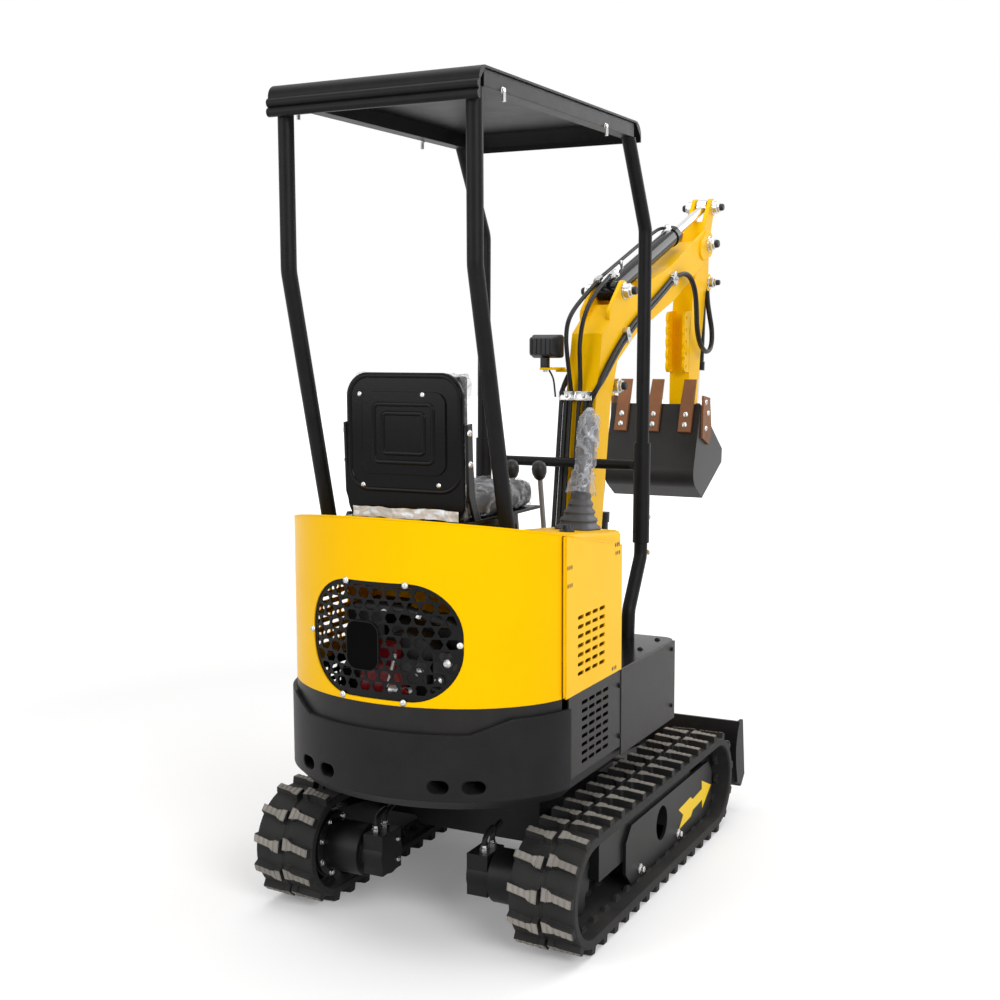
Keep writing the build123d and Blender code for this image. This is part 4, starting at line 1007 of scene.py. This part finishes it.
def makeFilmCover(name, pad, low, high, amount, keep):
    bm = bmesh.new()
    points = [vert.co.copy() for vert in pad.data.vertices]
    surface = BVHTree.FromPolygons(points, [face.vertices[:] for face in pad.data.polygons])
    bmesh.ops.create_cube(bm, size=1.0)
    bmesh.ops.subdivide_edges(bm, edges=bm.edges[:], cuts=film["cells"], use_grid_fill=True)
    middle, half = (low + high) / 2, (high - low) / 2
    for vert in bm.verts:
        unit = vert.co * 2
        corner = 1 - 0.035 * max(0.0, unit.length - 1.0)
        point = middle + Vector(half[k] * unit[k] for k in range(3)) * corner
        wrinkle = noise.noise(point * 34) + 0.6 * noise.noise(point * 75) + 0.4 * noise.noise(point * 150)
        spot, outward = surface.find_nearest(point)[:2]  # the film hugs the pad and lifts in folds
        vert.co = spot + outward * (film["lift"] + amount * (0.6 + wrinkle))
    gone = [face for face in bm.faces if not keep(face.calc_center_median(), middle, half)]
    bmesh.ops.delete(bm, geom=gone, context="FACES")
    finishPiece(name, bm, "house", ["clearFilm"], sharp=60)


def aboveSeat(center, middle, half):
    return center.z > middle.z - half.z * 0.86


def aheadOfShell(center, middle, half):
    return center.x > middle.x - half.x * 0.8


cushionLow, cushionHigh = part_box("seat_cushion")
backLow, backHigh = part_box("seat_back")
gap = film["gap"]
makeFilmCover("seatFilm", cushionPad, cushionLow - gap, cushionHigh + gap, 0.0045, aboveSeat)
makeFilmCover("backFilm", backPad, backLow - film["rearGap"], backHigh + gap, 0.0055, aheadOfShell)


def makeFilmSkirt():
    bm = bmesh.new()
    panLow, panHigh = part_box("seat_pan")
    columns, rows = 60, 10
    grid = []
    for i in range(columns + 1):
        y = panLow.y + 0.02 + (panHigh.y - panLow.y - 0.05) * i / columns
        line = []
        for j in range(rows + 1):
            hem = 0.004 * noise.noise(Vector((y * 30, 0.3, 0.7)))
            z = film["skirtFoot"] + film["skirtHeight"] * j / rows + hem
            fold = noise.noise(Vector((y * 45, z * 60, 0.2)))
            fold += 0.5 * noise.noise(Vector((y * 120, z * 120, 0.6)))
            line.append(bm.verts.new((panLow.x - 0.004 - 0.004 * fold, y, z)))
        grid.append(line)
    for near, far in zip(grid, grid[1:]):
        for j in range(rows):
            bm.faces.new((near[j], far[j], far[j + 1], near[j + 1]))
    finishPiece("skirtFilm", bm, "house", ["paleFilm"], sharp=60)


shellBolts = dict(
    back=[(0.130, 1.408, 0.005), (-0.056, 1.408, 0.0), (0.122, 1.178, 0.005), (-0.098, 1.184, 0.005)],
    hinge=[(1.315, -0.576), (1.238, -0.572)],
)
strap = dict(
    side=0.1795, thick=0.007,
    outline=[
        (-0.585, 1.335), (-0.560, 1.338), (-0.556, 1.24), (-0.545, 1.15), (-0.515, 1.095),
        (-0.548, 1.095), (-0.578, 1.16),
    ],
)
pressing = dict(
    middle=1.311,
    rings=[(0.318, 0.286, 0.055, 0.005), (0.170, 0.145, 0.014, 0.0), (0.118, 0.100, 0.010, 0.0)],
    bead=0.0035,
)


def addBead(bm, points, radius, index):
    count = len(points)
    rings = []
    for i, point in enumerate(points):
        along = (points[(i + 1) % count] - points[i - 1]).normalized()
        side = along.cross(Vector((1, 0, 0)))
        ring = []
        for angle in turns(10):
            swell = 1.7 * math.cos(angle) * side - math.sin(angle) * Vector((1, 0, 0))
            ring.append(bm.verts.new(point + radius * swell))
        rings.append(ring)
    joinRings(bm, rings, index, True)


def makeSeatFittings():
    bm = bmesh.new()
    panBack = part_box("seat_pan")[0].x
    for y, z, sunk in shellBolts["back"]:
        addButton(bm, (panBack + sunk, y, z), (-1, 0, 0), 7 * mm, 0)
    for wide, tall, corner, sunk in pressing["rings"]:
        outline = roundedOutline(wide, tall, corner, 8)
        points = [Vector((panBack + sunk, y, pressing["middle"] + z)) for y, z in outline]
        addBead(bm, points, pressing["bead"], 2)
    for sign in (1, -1):
        side = sign * strap["side"]
        rings = []
        for y in (side - sign * strap["thick"], side):
            rings.append([bm.verts.new((x, y, z)) for x, z in strap["outline"]])
        bridge(bm, rings[0], rings[1], 1)
        for ring in rings:
            bm.faces.new(ring).material_index = 1
        for z, x in shellBolts["hinge"]:
            addButton(bm, (x, side, z), (0, sign, 0), 9 * mm, 0)
    finishPiece("seatFittings", bm, "house", ["zincPlate", "glossBlack", "seatShell"])


makeFilmSkirt()
makeSeatFittings()
print("seat made")


# controls: pleated boots, grips and the travel levers

stick = dict(
    x=-0.205, y=0.305, boot=0.105, wide=0.053, neck=0.021, pleats=5, lean=0.022, grip=0.90,
    reach=Vector((0.055, 0, 0.20)), tilt=(0.08, 0, 1), plate=(0.122, 0.114, 0.014),
    gripShape=[
        (0.016, 0.0), (0.017, 0.02), (0.015, 0.05), (0.0165, 0.075), (0.0205, 0.10), (0.0215, 0.125),
        (0.0195, 0.15), (0.022, 0.175), (0.0235, 0.195), (0.019, 0.212), (0.010, 0.219),
        (0.0, 0.221),
    ],
    filmShape=[
        (0.040, 0.015), (0.033, 0.05), (0.026, 0.08), (0.028, 0.11), (0.029, 0.15), (0.030, 0.19),
        (0.026, 0.222), (0.014, 0.238), (0.005, 0.252),
    ],
)


def makeControls():
    bm = bmesh.new()
    for sign in (1, -1):
        base = Vector((stick["x"], sign * stick["y"], hoodHeight(stick["x"]) + console["lift"]))
        tilt = place(base, stick["tilt"])
        plate = roundedOutline(*stick["plate"])
        addStack(bm, [(plate, -0.001), (plate, 0.003)], tilt, 2)
        for cx in (-0.052, 0.052):
            for cy in (-0.048, 0.048):
                addButton(bm, tilt @ Vector((cx, cy, 0.003)), stick["tilt"], 4 * mm, 3)
        layers = []
        steps = stick["pleats"] * 4
        for i in range(steps + 1):
            share = i / steps
            half = stick["wide"] + (stick["neck"] - stick["wide"]) * share ** 0.85
            half += (0.0035 if i % 4 in (1, 2) else -0.002) * (1 - share * 0.5)
            outline = roundedOutline(2 * half, 1.9 * half, half * (0.35 + 0.6 * share))
            shift = stick["lean"] * share
            layers.append(([(x + shift, y) for x, y in outline], 0.003 + stick["boot"] * share))
        addStack(bm, layers, tilt, 0)
        neck = tilt @ Vector((stick["lean"], 0, stick["boot"]))
        up = stick["reach"].normalized()
        grip = [(radius, stick["grip"] * height) for radius, height in stick["gripShape"]]
        addLathe(bm, grip, place(neck - up * 0.004, up), 28, 1)
    finishPiece(
        "controlSticks", bm, "house",
        ["bootRubber", "bootRubber", "gripPlastic", "zincPlate"], ["joysticks"],
    )


def makeStickFilms():
    for sign, side in ((1, "Left"), (-1, "Right")):
        wrap = bmesh.new()
        neckZ = hoodHeight(stick["x"]) + console["lift"] + stick["boot"]
        base = Vector((stick["x"] + stick["lean"], sign * stick["y"], neckZ - 0.022))
        up = stick["reach"].normalized()
        profile = stick["filmShape"]
        fine = []
        for (r0, h0), (r1, h1) in zip(profile, profile[1:]):
            fine += [(r0 + (r1 - r0) * k / 4, h0 + (h1 - h0) * k / 4) for k in range(4)]
        addLathe(wrap, fine, place(base, up), 40, 0)
        for vert in wrap.verts:
            wave = noise.noise(vert.co * 45) + 0.7 * noise.noise(vert.co * 110)
            away = vert.co - (base + up * (vert.co - base).dot(up))
            vert.co += away.normalized() * 0.006 * wave
        bmesh.ops.delete(wrap, geom=[face for face in wrap.faces if len(face.verts) > 4], context="FACES")
        finishPiece("stickFilm" + side, wrap, "house", ["stickFilm"], sharp=60)


lever = dict(
    across=(-0.045, 0.045), radius=0.0075,
    stem=[(0.170, 0.656), (0.170, 0.74), (0.166, 0.82), (0.140, 0.98), (0.110, 1.150)],
    knob=[
        (0.010, -0.012), (0.016, -0.006), (0.0215, 0.008), (0.0225, 0.022), (0.018, 0.036),
        (0.009, 0.0425), (0.0, 0.0435),
    ],
    boot=[
        (0.034, 0.0), (0.034, 0.006), (0.024, 0.010), (0.027, 0.020), (0.019, 0.026), (0.021, 0.036),
        (0.012, 0.046), (0.0098, 0.06),
    ],
)


def makeTravelLevers():
    bm = bmesh.new()
    for y in lever["across"]:
        addTube(bm, smoothPath([(x, y, z) for x, z in lever["stem"]]), lever["radius"], 14, 0)
        addLathe(bm, lever["knob"], place((0.110, y, 1.146), (-0.17, 0, 1)), 24, 1)
        addLathe(bm, lever["boot"], place((0.170, y, 0.6562)), 24, 1)
    finishPiece(
        "travelSticks", bm, "house", ["dullSteel", "gripPlastic"], ["travel_levers"]
    )


makeControls()
makeStickFilms()
makeTravelLevers()
print("controls made")


# boom and arm: pin ends, hoses, clamps and the work light

pinEnds = dict(
    boom=[
        (1.590, 1.900, 0.058, 0.074, 0.020), (0.745, 1.700, 0.052, 0.074, 0.018),
        (0.690, 1.390, 0.038, 0.062, 0.018),
    ],
    arm=[(1.690, 2.045, 0.038, 0.058, 0.018), (1.655, 1.757, 0.038, 0.058, 0.014)],
    rocker=[(1.600, 1.117, 0.075, 0.081, 0.014)],
)


def makePinEnds(body):
    bm = bmesh.new()
    for x, z, face, end, radius in pinEnds[body]:
        for sign in (1, -1):
            where = place((x, sign * face, z), (0, sign, 0))
            reach = end - face
            collar = [
                (radius + 0.009, -mm), (radius + 0.009, 0.004), (radius + 0.006, 0.005),
                (radius + 0.006, reach), (radius + 0.004, reach + 0.002),
            ]
            addLathe(bm, collar, where, 28, 0)
            nut = [(radius + 0.002, reach), (radius + 0.002, reach + 0.008), (radius, reach + 0.010)]
            addLathe(bm, nut, where, 6, 0)
            cap = [
                (0.75 * radius, reach), (0.75 * radius, reach + 0.020), (0.6 * radius, reach + 0.024),
                (0.0, reach + 0.024),
            ]
            addLathe(bm, cap, where, 20, 1)
    finishPiece(body + "PinEnds", bm, body, ["zincPlate", "gripPlastic"])


for body in pinEnds:
    makePinEnds(body)


hose = dict(radius=0.0072, face=0.052, pitch=0.008)
rearRun = [(0.420, 0.822), (0.446, 0.996), (0.472, 1.171), (0.4955, 1.328), (0.4984, 1.3465)]
clampRun = [(0.5016, 1.3609), (0.5048, 1.3753)]
sideRun = [
    (0.562, 1.429), (0.645, 1.491), (0.748, 1.556), (0.865, 1.613), (0.958, 1.651), (1.084, 1.705),
    (1.190, 1.754),
]


def upRear(y):
    return [(x, y, z) for x, z in rearRun]


def overElbow(y, route):
    return upRear(y) + [(x, y, z) for x, z in clampRun + route]


def alongSide(start, sign, shift, count):
    side = sign * (hose["face"] + hose["radius"] + mm)
    turn = [(0.4990, 0.5 * start + 0.5 * side, 1.366), (0.5005, side, 1.385)]
    return upRear(start) + turn + [(x - 0.5 * shift, side, z + 0.87 * shift) for x, z in sideRun[:count]]


boomHoses = dict(
    left=overElbow(0.030, [
        (0.492, 1.420), (0.470, 1.500), (0.462, 1.548), (0.476, 1.600), (0.534, 1.644), (0.636, 1.694),
        (0.712, 1.730),
    ]),
    right=overElbow(0.000, [
        (0.509, 1.405), (0.504, 1.460), (0.499, 1.530), (0.530, 1.610), (0.599, 1.674), (0.700, 1.728),
        (0.772, 1.758),
    ]),
    sideUpper=alongSide(-0.024, -1, hose["pitch"], 7),
    sideLower=alongSide(-0.040, -1, -hose["pitch"], 7),
    leftUpper=alongSide(0.046, 1, hose["pitch"], 3),
    leftLower=alongSide(0.062, 1, -hose["pitch"], 3),
)


def makeBoomHoses():
    bm = bmesh.new()
    for route in boomHoses.values():
        addTube(bm, smoothPath(route), hose["radius"], 14, 0)
    cable = [(0.488, 0.100, 1.444), (0.500, 0.092, 1.425), (0.494, 0.084, 1.395), (0.484, 0.076, 1.360)]
    addTube(bm, smoothPath(cable), 0.003, 8, 0)
    finishPiece("boomHoses", bm, "boom", ["hoseRubber"], ["boom_hoses"], 60)


footHose = dict(
    across=(0.062, 0.046, 0.030, 0.000, -0.024, -0.040), pinch=0.75,
    house=[(0.334, 0.560), (0.352, 0.566), (0.378, 0.610), (0.392, 0.680)],
    boom=[(0.405, 0.750), (0.421, 0.832)],
)


def makeFootHoses():
    for i, y in enumerate(footHose["across"]):
        route = [(x, footHose["pinch"] * y, z) for x, z in footHose["house"]]
        route += [(x, y, z) for x, z in footHose["boom"]]
        bm = bmesh.new()
        addTube(bm, smoothPath(route), hose["radius"], 12, 0)
        piece = finishPiece("footHose" + str(i + 1), bm, None, ["hoseRubber"], sharp=60)
        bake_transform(piece)


def addClamp(bm, center, axes, size):
    across, along, out = (Vector(axis).normalized() for axis in axes)
    turn = Matrix((across, along, out)).transposed().to_4x4()
    where = Matrix.Translation(center) @ turn
    width, length, height = size
    plate = roundedOutline(width, length, 0.003, 3)
    lid = [(0.96 * x, 0.94 * y) for x, y in plate]
    addStack(bm, [(plate, -height), (plate, -0.001), (lid, 0.0)], where, 0)
    addBolt(bm, center, out, 8 * mm, 1)


clamps = dict(
    rear=[(0.4922, 0.040, 1.3643), (0.4922, -0.018, 1.3643)], rearSize=(0.057, 0.030, 0.020),
    rearAxes=((0, 1, 0), (0.220, 0, 0.975), (-0.975, 0, 0.220)), sideSize=(0.046, 0.028, 0.019),
    side=[(-1, 0.748, 1.556), (-1, 1.196, 1.756), (1, 0.735, 1.549)], proud=0.019,
    ends=[(-1, 1.190, 1.754), (1, 0.748, 1.556)], slope=Vector((0.87, 0, 0.49)),
    nut=[
        (0.0085, -0.012), (0.0105, -0.010), (0.0105, 0.010), (0.0085, 0.012), (0.0085, 0.020),
        (0.0075, 0.030),
    ],
)


def makeHoseClamps():
    bm = bmesh.new()
    for spot in clamps["rear"]:
        addClamp(bm, spot, clamps["rearAxes"], clamps["rearSize"])
    slope = clamps["slope"]
    down = Vector((slope.z, 0, -slope.x))
    for sign, x, z in clamps["side"]:
        spot = (x, sign * (hose["face"] + clamps["proud"]), z)
        addClamp(bm, spot, (down, sign * slope, (0, sign, 0)), clamps["sideSize"])
    for shift in (hose["pitch"], -hose["pitch"]):
        for sign, x, z in clamps["ends"]:
            start = Vector((x - 0.5 * shift, sign * (hose["face"] + hose["radius"] + mm), z + 0.87 * shift))
            addLathe(bm, clamps["nut"], place(start, slope), 6, 0)
    finishPiece("hoseClamps", bm, "boom", ["zincPlate", "castAlloy"])


barrelLine = dict(
    start=Vector((0.745, 0.0, 1.700)), end=Vector((1.690, 0.0, 2.045)), offset=0.044, y=0.030, radius=0.006,
    nut=[
        (0.0088, -0.016), (0.0088, -0.006), (0.0118, -0.004), (0.0118, 0.014), (0.0098, 0.016),
        (0.0098, 0.030),
    ],
    port=[(0.015, 0.028), (0.015, 0.038), (0.012, 0.040), (0.012, 0.048), (0.009, 0.052)],
    ports=(0.066, 0.596), clips=(0.18, 0.42),
)


def onBarrel(distance, out, y):
    along = (barrelLine["end"] - barrelLine["start"]).normalized()
    up = Vector((-along.z, 0, along.x))
    return barrelLine["start"] + along * distance + up * out + Vector((0, y, 0))


def makeBarrelLine():
    bm = bmesh.new()
    out, y = barrelLine["offset"], barrelLine["y"]
    along = onBarrel(1, 0, 0) - onBarrel(0, 0, 0)
    path = [(distance, out, y) for distance in (0.0, 0.1, 0.3, 0.52)]
    path += [(0.575, out, 0.8 * y), (0.592, out - 0.002, 0.3 * y), (0.596, 0.030, 0.0)]
    addTube(bm, smoothPath([onBarrel(*spot) for spot in path]), barrelLine["radius"], 14, 1)
    for spot in ((-0.018, out, y), (0.030, 0.042, 0.0)):
        addLathe(bm, barrelLine["nut"], place(onBarrel(*spot), along), 6, 0)
    up = onBarrel(0, 1, 0) - onBarrel(0, 0, 0)
    for distance in barrelLine["ports"]:
        addLathe(bm, barrelLine["port"], place(onBarrel(distance, 0, 0), up), 6, 0)
    for distance in barrelLine["clips"]:
        base = onBarrel(distance, 0.018, y * 0.9)
        addBlock(bm, base - Vector((0.008, 0.005, 0.010)), base + Vector((0.008, 0.005, 0.030)), 0, 0.001)
    finishPiece("armBarrelLine", bm, "arm_barrel", ["zincPlate", "hoseRubber"])


loopHose = dict(
    route=[
        (1.205, -0.066, 1.763), (1.262, -0.075, 1.781), (1.330, -0.080, 1.768), (1.378, -0.082, 1.715),
        (1.390, -0.083, 1.645), (1.396, -0.083, 1.575), (1.440, -0.083, 1.515), (1.520, -0.082, 1.487),
        (1.585, -0.078, 1.515), (1.606, -0.072, 1.575), (1.598, -0.062, 1.640), (1.604, -0.052, 1.690),
        (1.618, -0.046, 1.722),
    ],
    behind=Vector((0.020, 0.011, -0.002)),
)


def makeLoopHoses():
    for name, shift in (("loopHose", Vector((0, 0, 0))), ("loopHoseInner", loopHose["behind"])):
        line = smoothPath([Vector(point) + shift for point in loopHose["route"]], 10)
        bm = bmesh.new()
        addTube(bm, line, hose["radius"], 16, 0)
        piece = finishPiece(name, bm, None, ["hoseRubber"], sharp=60)
        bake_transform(piece)


lamp = dict(center=(0.470, 0.106, 1.520), width=0.104, height=0.074)


def makeWorkLight():
    bm = bmesh.new()
    x, y, z = lamp["center"]
    turn = Matrix(((0, 0, 1), (1, 0, 0), (0, 1, 0))).to_4x4()
    where = Matrix.Translation((x, y, z)) @ turn
    wide, tall = lamp["width"], lamp["height"]
    shell = [
        (roundedOutline(0.72 * wide, 0.66 * tall, 0.008), -0.034),
        (roundedOutline(0.82 * wide, 0.80 * tall, 0.009), -0.026),
        (roundedOutline(0.92 * wide, 0.92 * tall, 0.010), 0.004),
        (roundedOutline(wide, tall, 0.010), 0.010), (roundedOutline(wide, tall, 0.010), 0.030),
        (roundedOutline(0.94 * wide, 0.92 * tall, 0.008), 0.030),
        (roundedOutline(0.92 * wide, 0.90 * tall, 0.008), 0.022),
    ]
    addStack(bm, shell, where, 0, 1)
    for i in range(5):
        rib = y + 0.15 * wide * (i - 2)
        addBlock(bm, (x - 0.038, rib - 0.002, z - 0.026), (x - 0.010, rib + 0.002, z + 0.026), 0, 0.0008)
    addBlock(bm, (x - 0.012, y - 0.012, 1.452), (x + 0.012, y + 0.012, 1.485), 0, 0.003)
    addBlock(bm, (0.455, 0.066, 1.446), (0.540, 0.118, 1.453), 2, 0.001)
    addBlock(bm, (0.520, 0.0515, 1.438), (0.552, 0.092, 1.447), 2, 0.001)
    addBolt(bm, (x + 0.002, y, 1.446), (0, 0, -1), 9 * mm, 3)
    addBolt(bm, (0.536, 0.074, 1.447), (0, 0, 1), 7 * mm, 3)
    finishPiece(
        "workLamp", bm, "boom",
        ["gripPlastic", "castAlloy", "yellowPaint", "zincPlate"], ["work_light"],
    )


makeBoomHoses()
makeFootHoses()
makeHoseClamps()
makeBarrelLine()
makeLoopHoses()
makeWorkLight()
print("boom fitted")


# bucket: bolts on the tooth shanks and the side cutters

shank = dict(
    lip=Vector((1.190, 0, 1.310)), heel=Vector((1.104, 0, 1.040)), pitch=0.122, proud=0.0136,
    bolts=(-0.042, -0.080), cutter=[(1.222, 1.222), (1.246, 1.276), (1.222, 1.316)],
)


def makeBucketBolts():
    bm = bmesh.new()
    run = (shank["lip"] - shank["heel"]).normalized()
    out = Vector((-run.z, 0, run.x))
    for y in (-shank["pitch"], 0.0, shank["pitch"]):
        for along in shank["bolts"]:
            spot = shank["lip"] + run * along + out * shank["proud"] + Vector((0, y, 0))
            addButton(bm, spot, out, 11 * mm, 0)
    low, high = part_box("bucket_teeth")
    for sign, face in ((1, high.y), (-1, low.y)):
        for x, z in shank["cutter"]:
            addButton(bm, (x, face, z), (0, sign, 0), 10 * mm, 0)
    finishPiece("bucketBolts", bm, "bucket", ["zincPlate"])


makeBucketBolts()
print("bucket fitted")


# studio: pale floor, soft lights, white surround and the photo's camera

studio = dict(
    floor=60.0, floorColor=(0.86, 0.86, 0.86), surround=0.32, fade=(2.6, 8.0), lift=0.16,
    lights=[
        ("topLight", (0.0, 0.0, 6.5), (0.3, 0.0, 0.8), 7.0, 250.0),
        ("keyLight", (-4.2, -5.6, 4.0), (0.2, 0.0, 0.9), 4.0, 290.0),
        ("fillLight", (-5.5, 3.0, 3.0), (0.0, 0.0, 0.9), 4.0, 120.0),
        ("rimLight", (5.0, -2.5, 4.0), (0.4, 0.0, 1.2), 3.5, 110.0),
    ],
)


def seenDirectly(tree):
    path = tree.nodes.new("ShaderNodeLightPath")
    seen = mathNode(tree, "ADD", path.outputs["Is Camera Ray"], path.outputs["Is Glossy Ray"], True)
    return mathNode(tree, "ADD", seen, path.outputs["Is Transmission Ray"], True)


def makeFloorSkin():
    material, tree, shader = newMaterial("studioFloor")
    shader.inputs["Base Color"].default_value = (*studio["floorColor"], 1.0)
    shader.inputs["Roughness"].default_value = 0.8
    shader.inputs["Specular IOR Level"].default_value = 0.1
    coords = tree.nodes.new("ShaderNodeTexCoord")
    distance = tree.nodes.new("ShaderNodeVectorMath")
    distance.operation = "LENGTH"
    tree.links.new(coords.outputs["Object"], distance.inputs[0])
    away = rangeNode(tree, distance.outputs["Value"], *studio["fade"], studio["lift"], 1.0)
    glow = tree.nodes.new("ShaderNodeEmission")
    tree.links.new(mathNode(tree, "MULTIPLY", away, seenDirectly(tree)), glow.inputs["Strength"])
    both = tree.nodes.new("ShaderNodeAddShader")
    tree.links.new(shader.outputs[0], both.inputs[0])
    tree.links.new(glow.outputs[0], both.inputs[1])
    tree.links.new(both.outputs[0], tree.nodes["Material Output"].inputs["Surface"])
    return material


def makeStudio():
    bm = bmesh.new()
    half = studio["floor"] / 2
    bm.faces.new([bm.verts.new((x * half, y * half, 0)) for x, y in ((-1, -1), (1, -1), (1, 1), (-1, 1))])
    floor = newPiece("studioFloor", bm)
    floor.data.materials.append(makeFloorSkin())
    for name, spot, aim, size, power in studio["lights"]:
        data = bpy.data.lights.new(name, "AREA")
        data.shape = "DISK"
        data.size = size
        data.energy = power
        lightObject = bpy.data.objects.new(name, data)
        lightObject.location = spot
        lightObject.rotation_euler = (Vector(aim) - Vector(spot)).to_track_quat("-Z", "Y").to_euler()
        scene.collection.objects.link(lightObject)


def makeSurround():
    world = bpy.data.worlds.new("surround")
    world.use_nodes = True
    scene.world = world
    tree = world.node_tree
    background = tree.nodes["Background"]
    background.inputs["Color"].default_value = (1, 1, 1, 1)
    seen = seenDirectly(tree)
    tree.links.new(rangeNode(tree, seen, 0.0, 1.0, studio["surround"], 1.0), background.inputs["Strength"])


view = dict(spot=(-3.5777, -1.7872, 1.544), yaw=0.4699, pitch=-0.1148, roll=-0.0033, lens=50.29, sensor=36.0)


def makeCamera():
    yaw, pitch, roll = view["yaw"], view["pitch"], view["roll"]
    forward = Vector((math.cos(yaw) * math.cos(pitch), math.sin(yaw) * math.cos(pitch), math.sin(pitch)))
    right = forward.cross(Vector((0, 0, 1))).normalized()
    up = right.cross(forward)
    sideways = right * math.cos(roll) + up * math.sin(roll)
    upright = up * math.cos(roll) - right * math.sin(roll)
    data = bpy.data.cameras.new("photoCamera")
    data.lens = view["lens"]
    data.sensor_width = view["sensor"]
    camera = bpy.data.objects.new("photoCamera", data)
    turn = Matrix((sideways, upright, -forward)).transposed().to_4x4()
    camera.matrix_world = Matrix.Translation(view["spot"]) @ turn
    scene.collection.objects.link(camera)
    scene.camera = camera


makeStudio()
makeSurround()
makeCamera()
scene.view_settings.view_transform = "Standard"
print("studio ready")
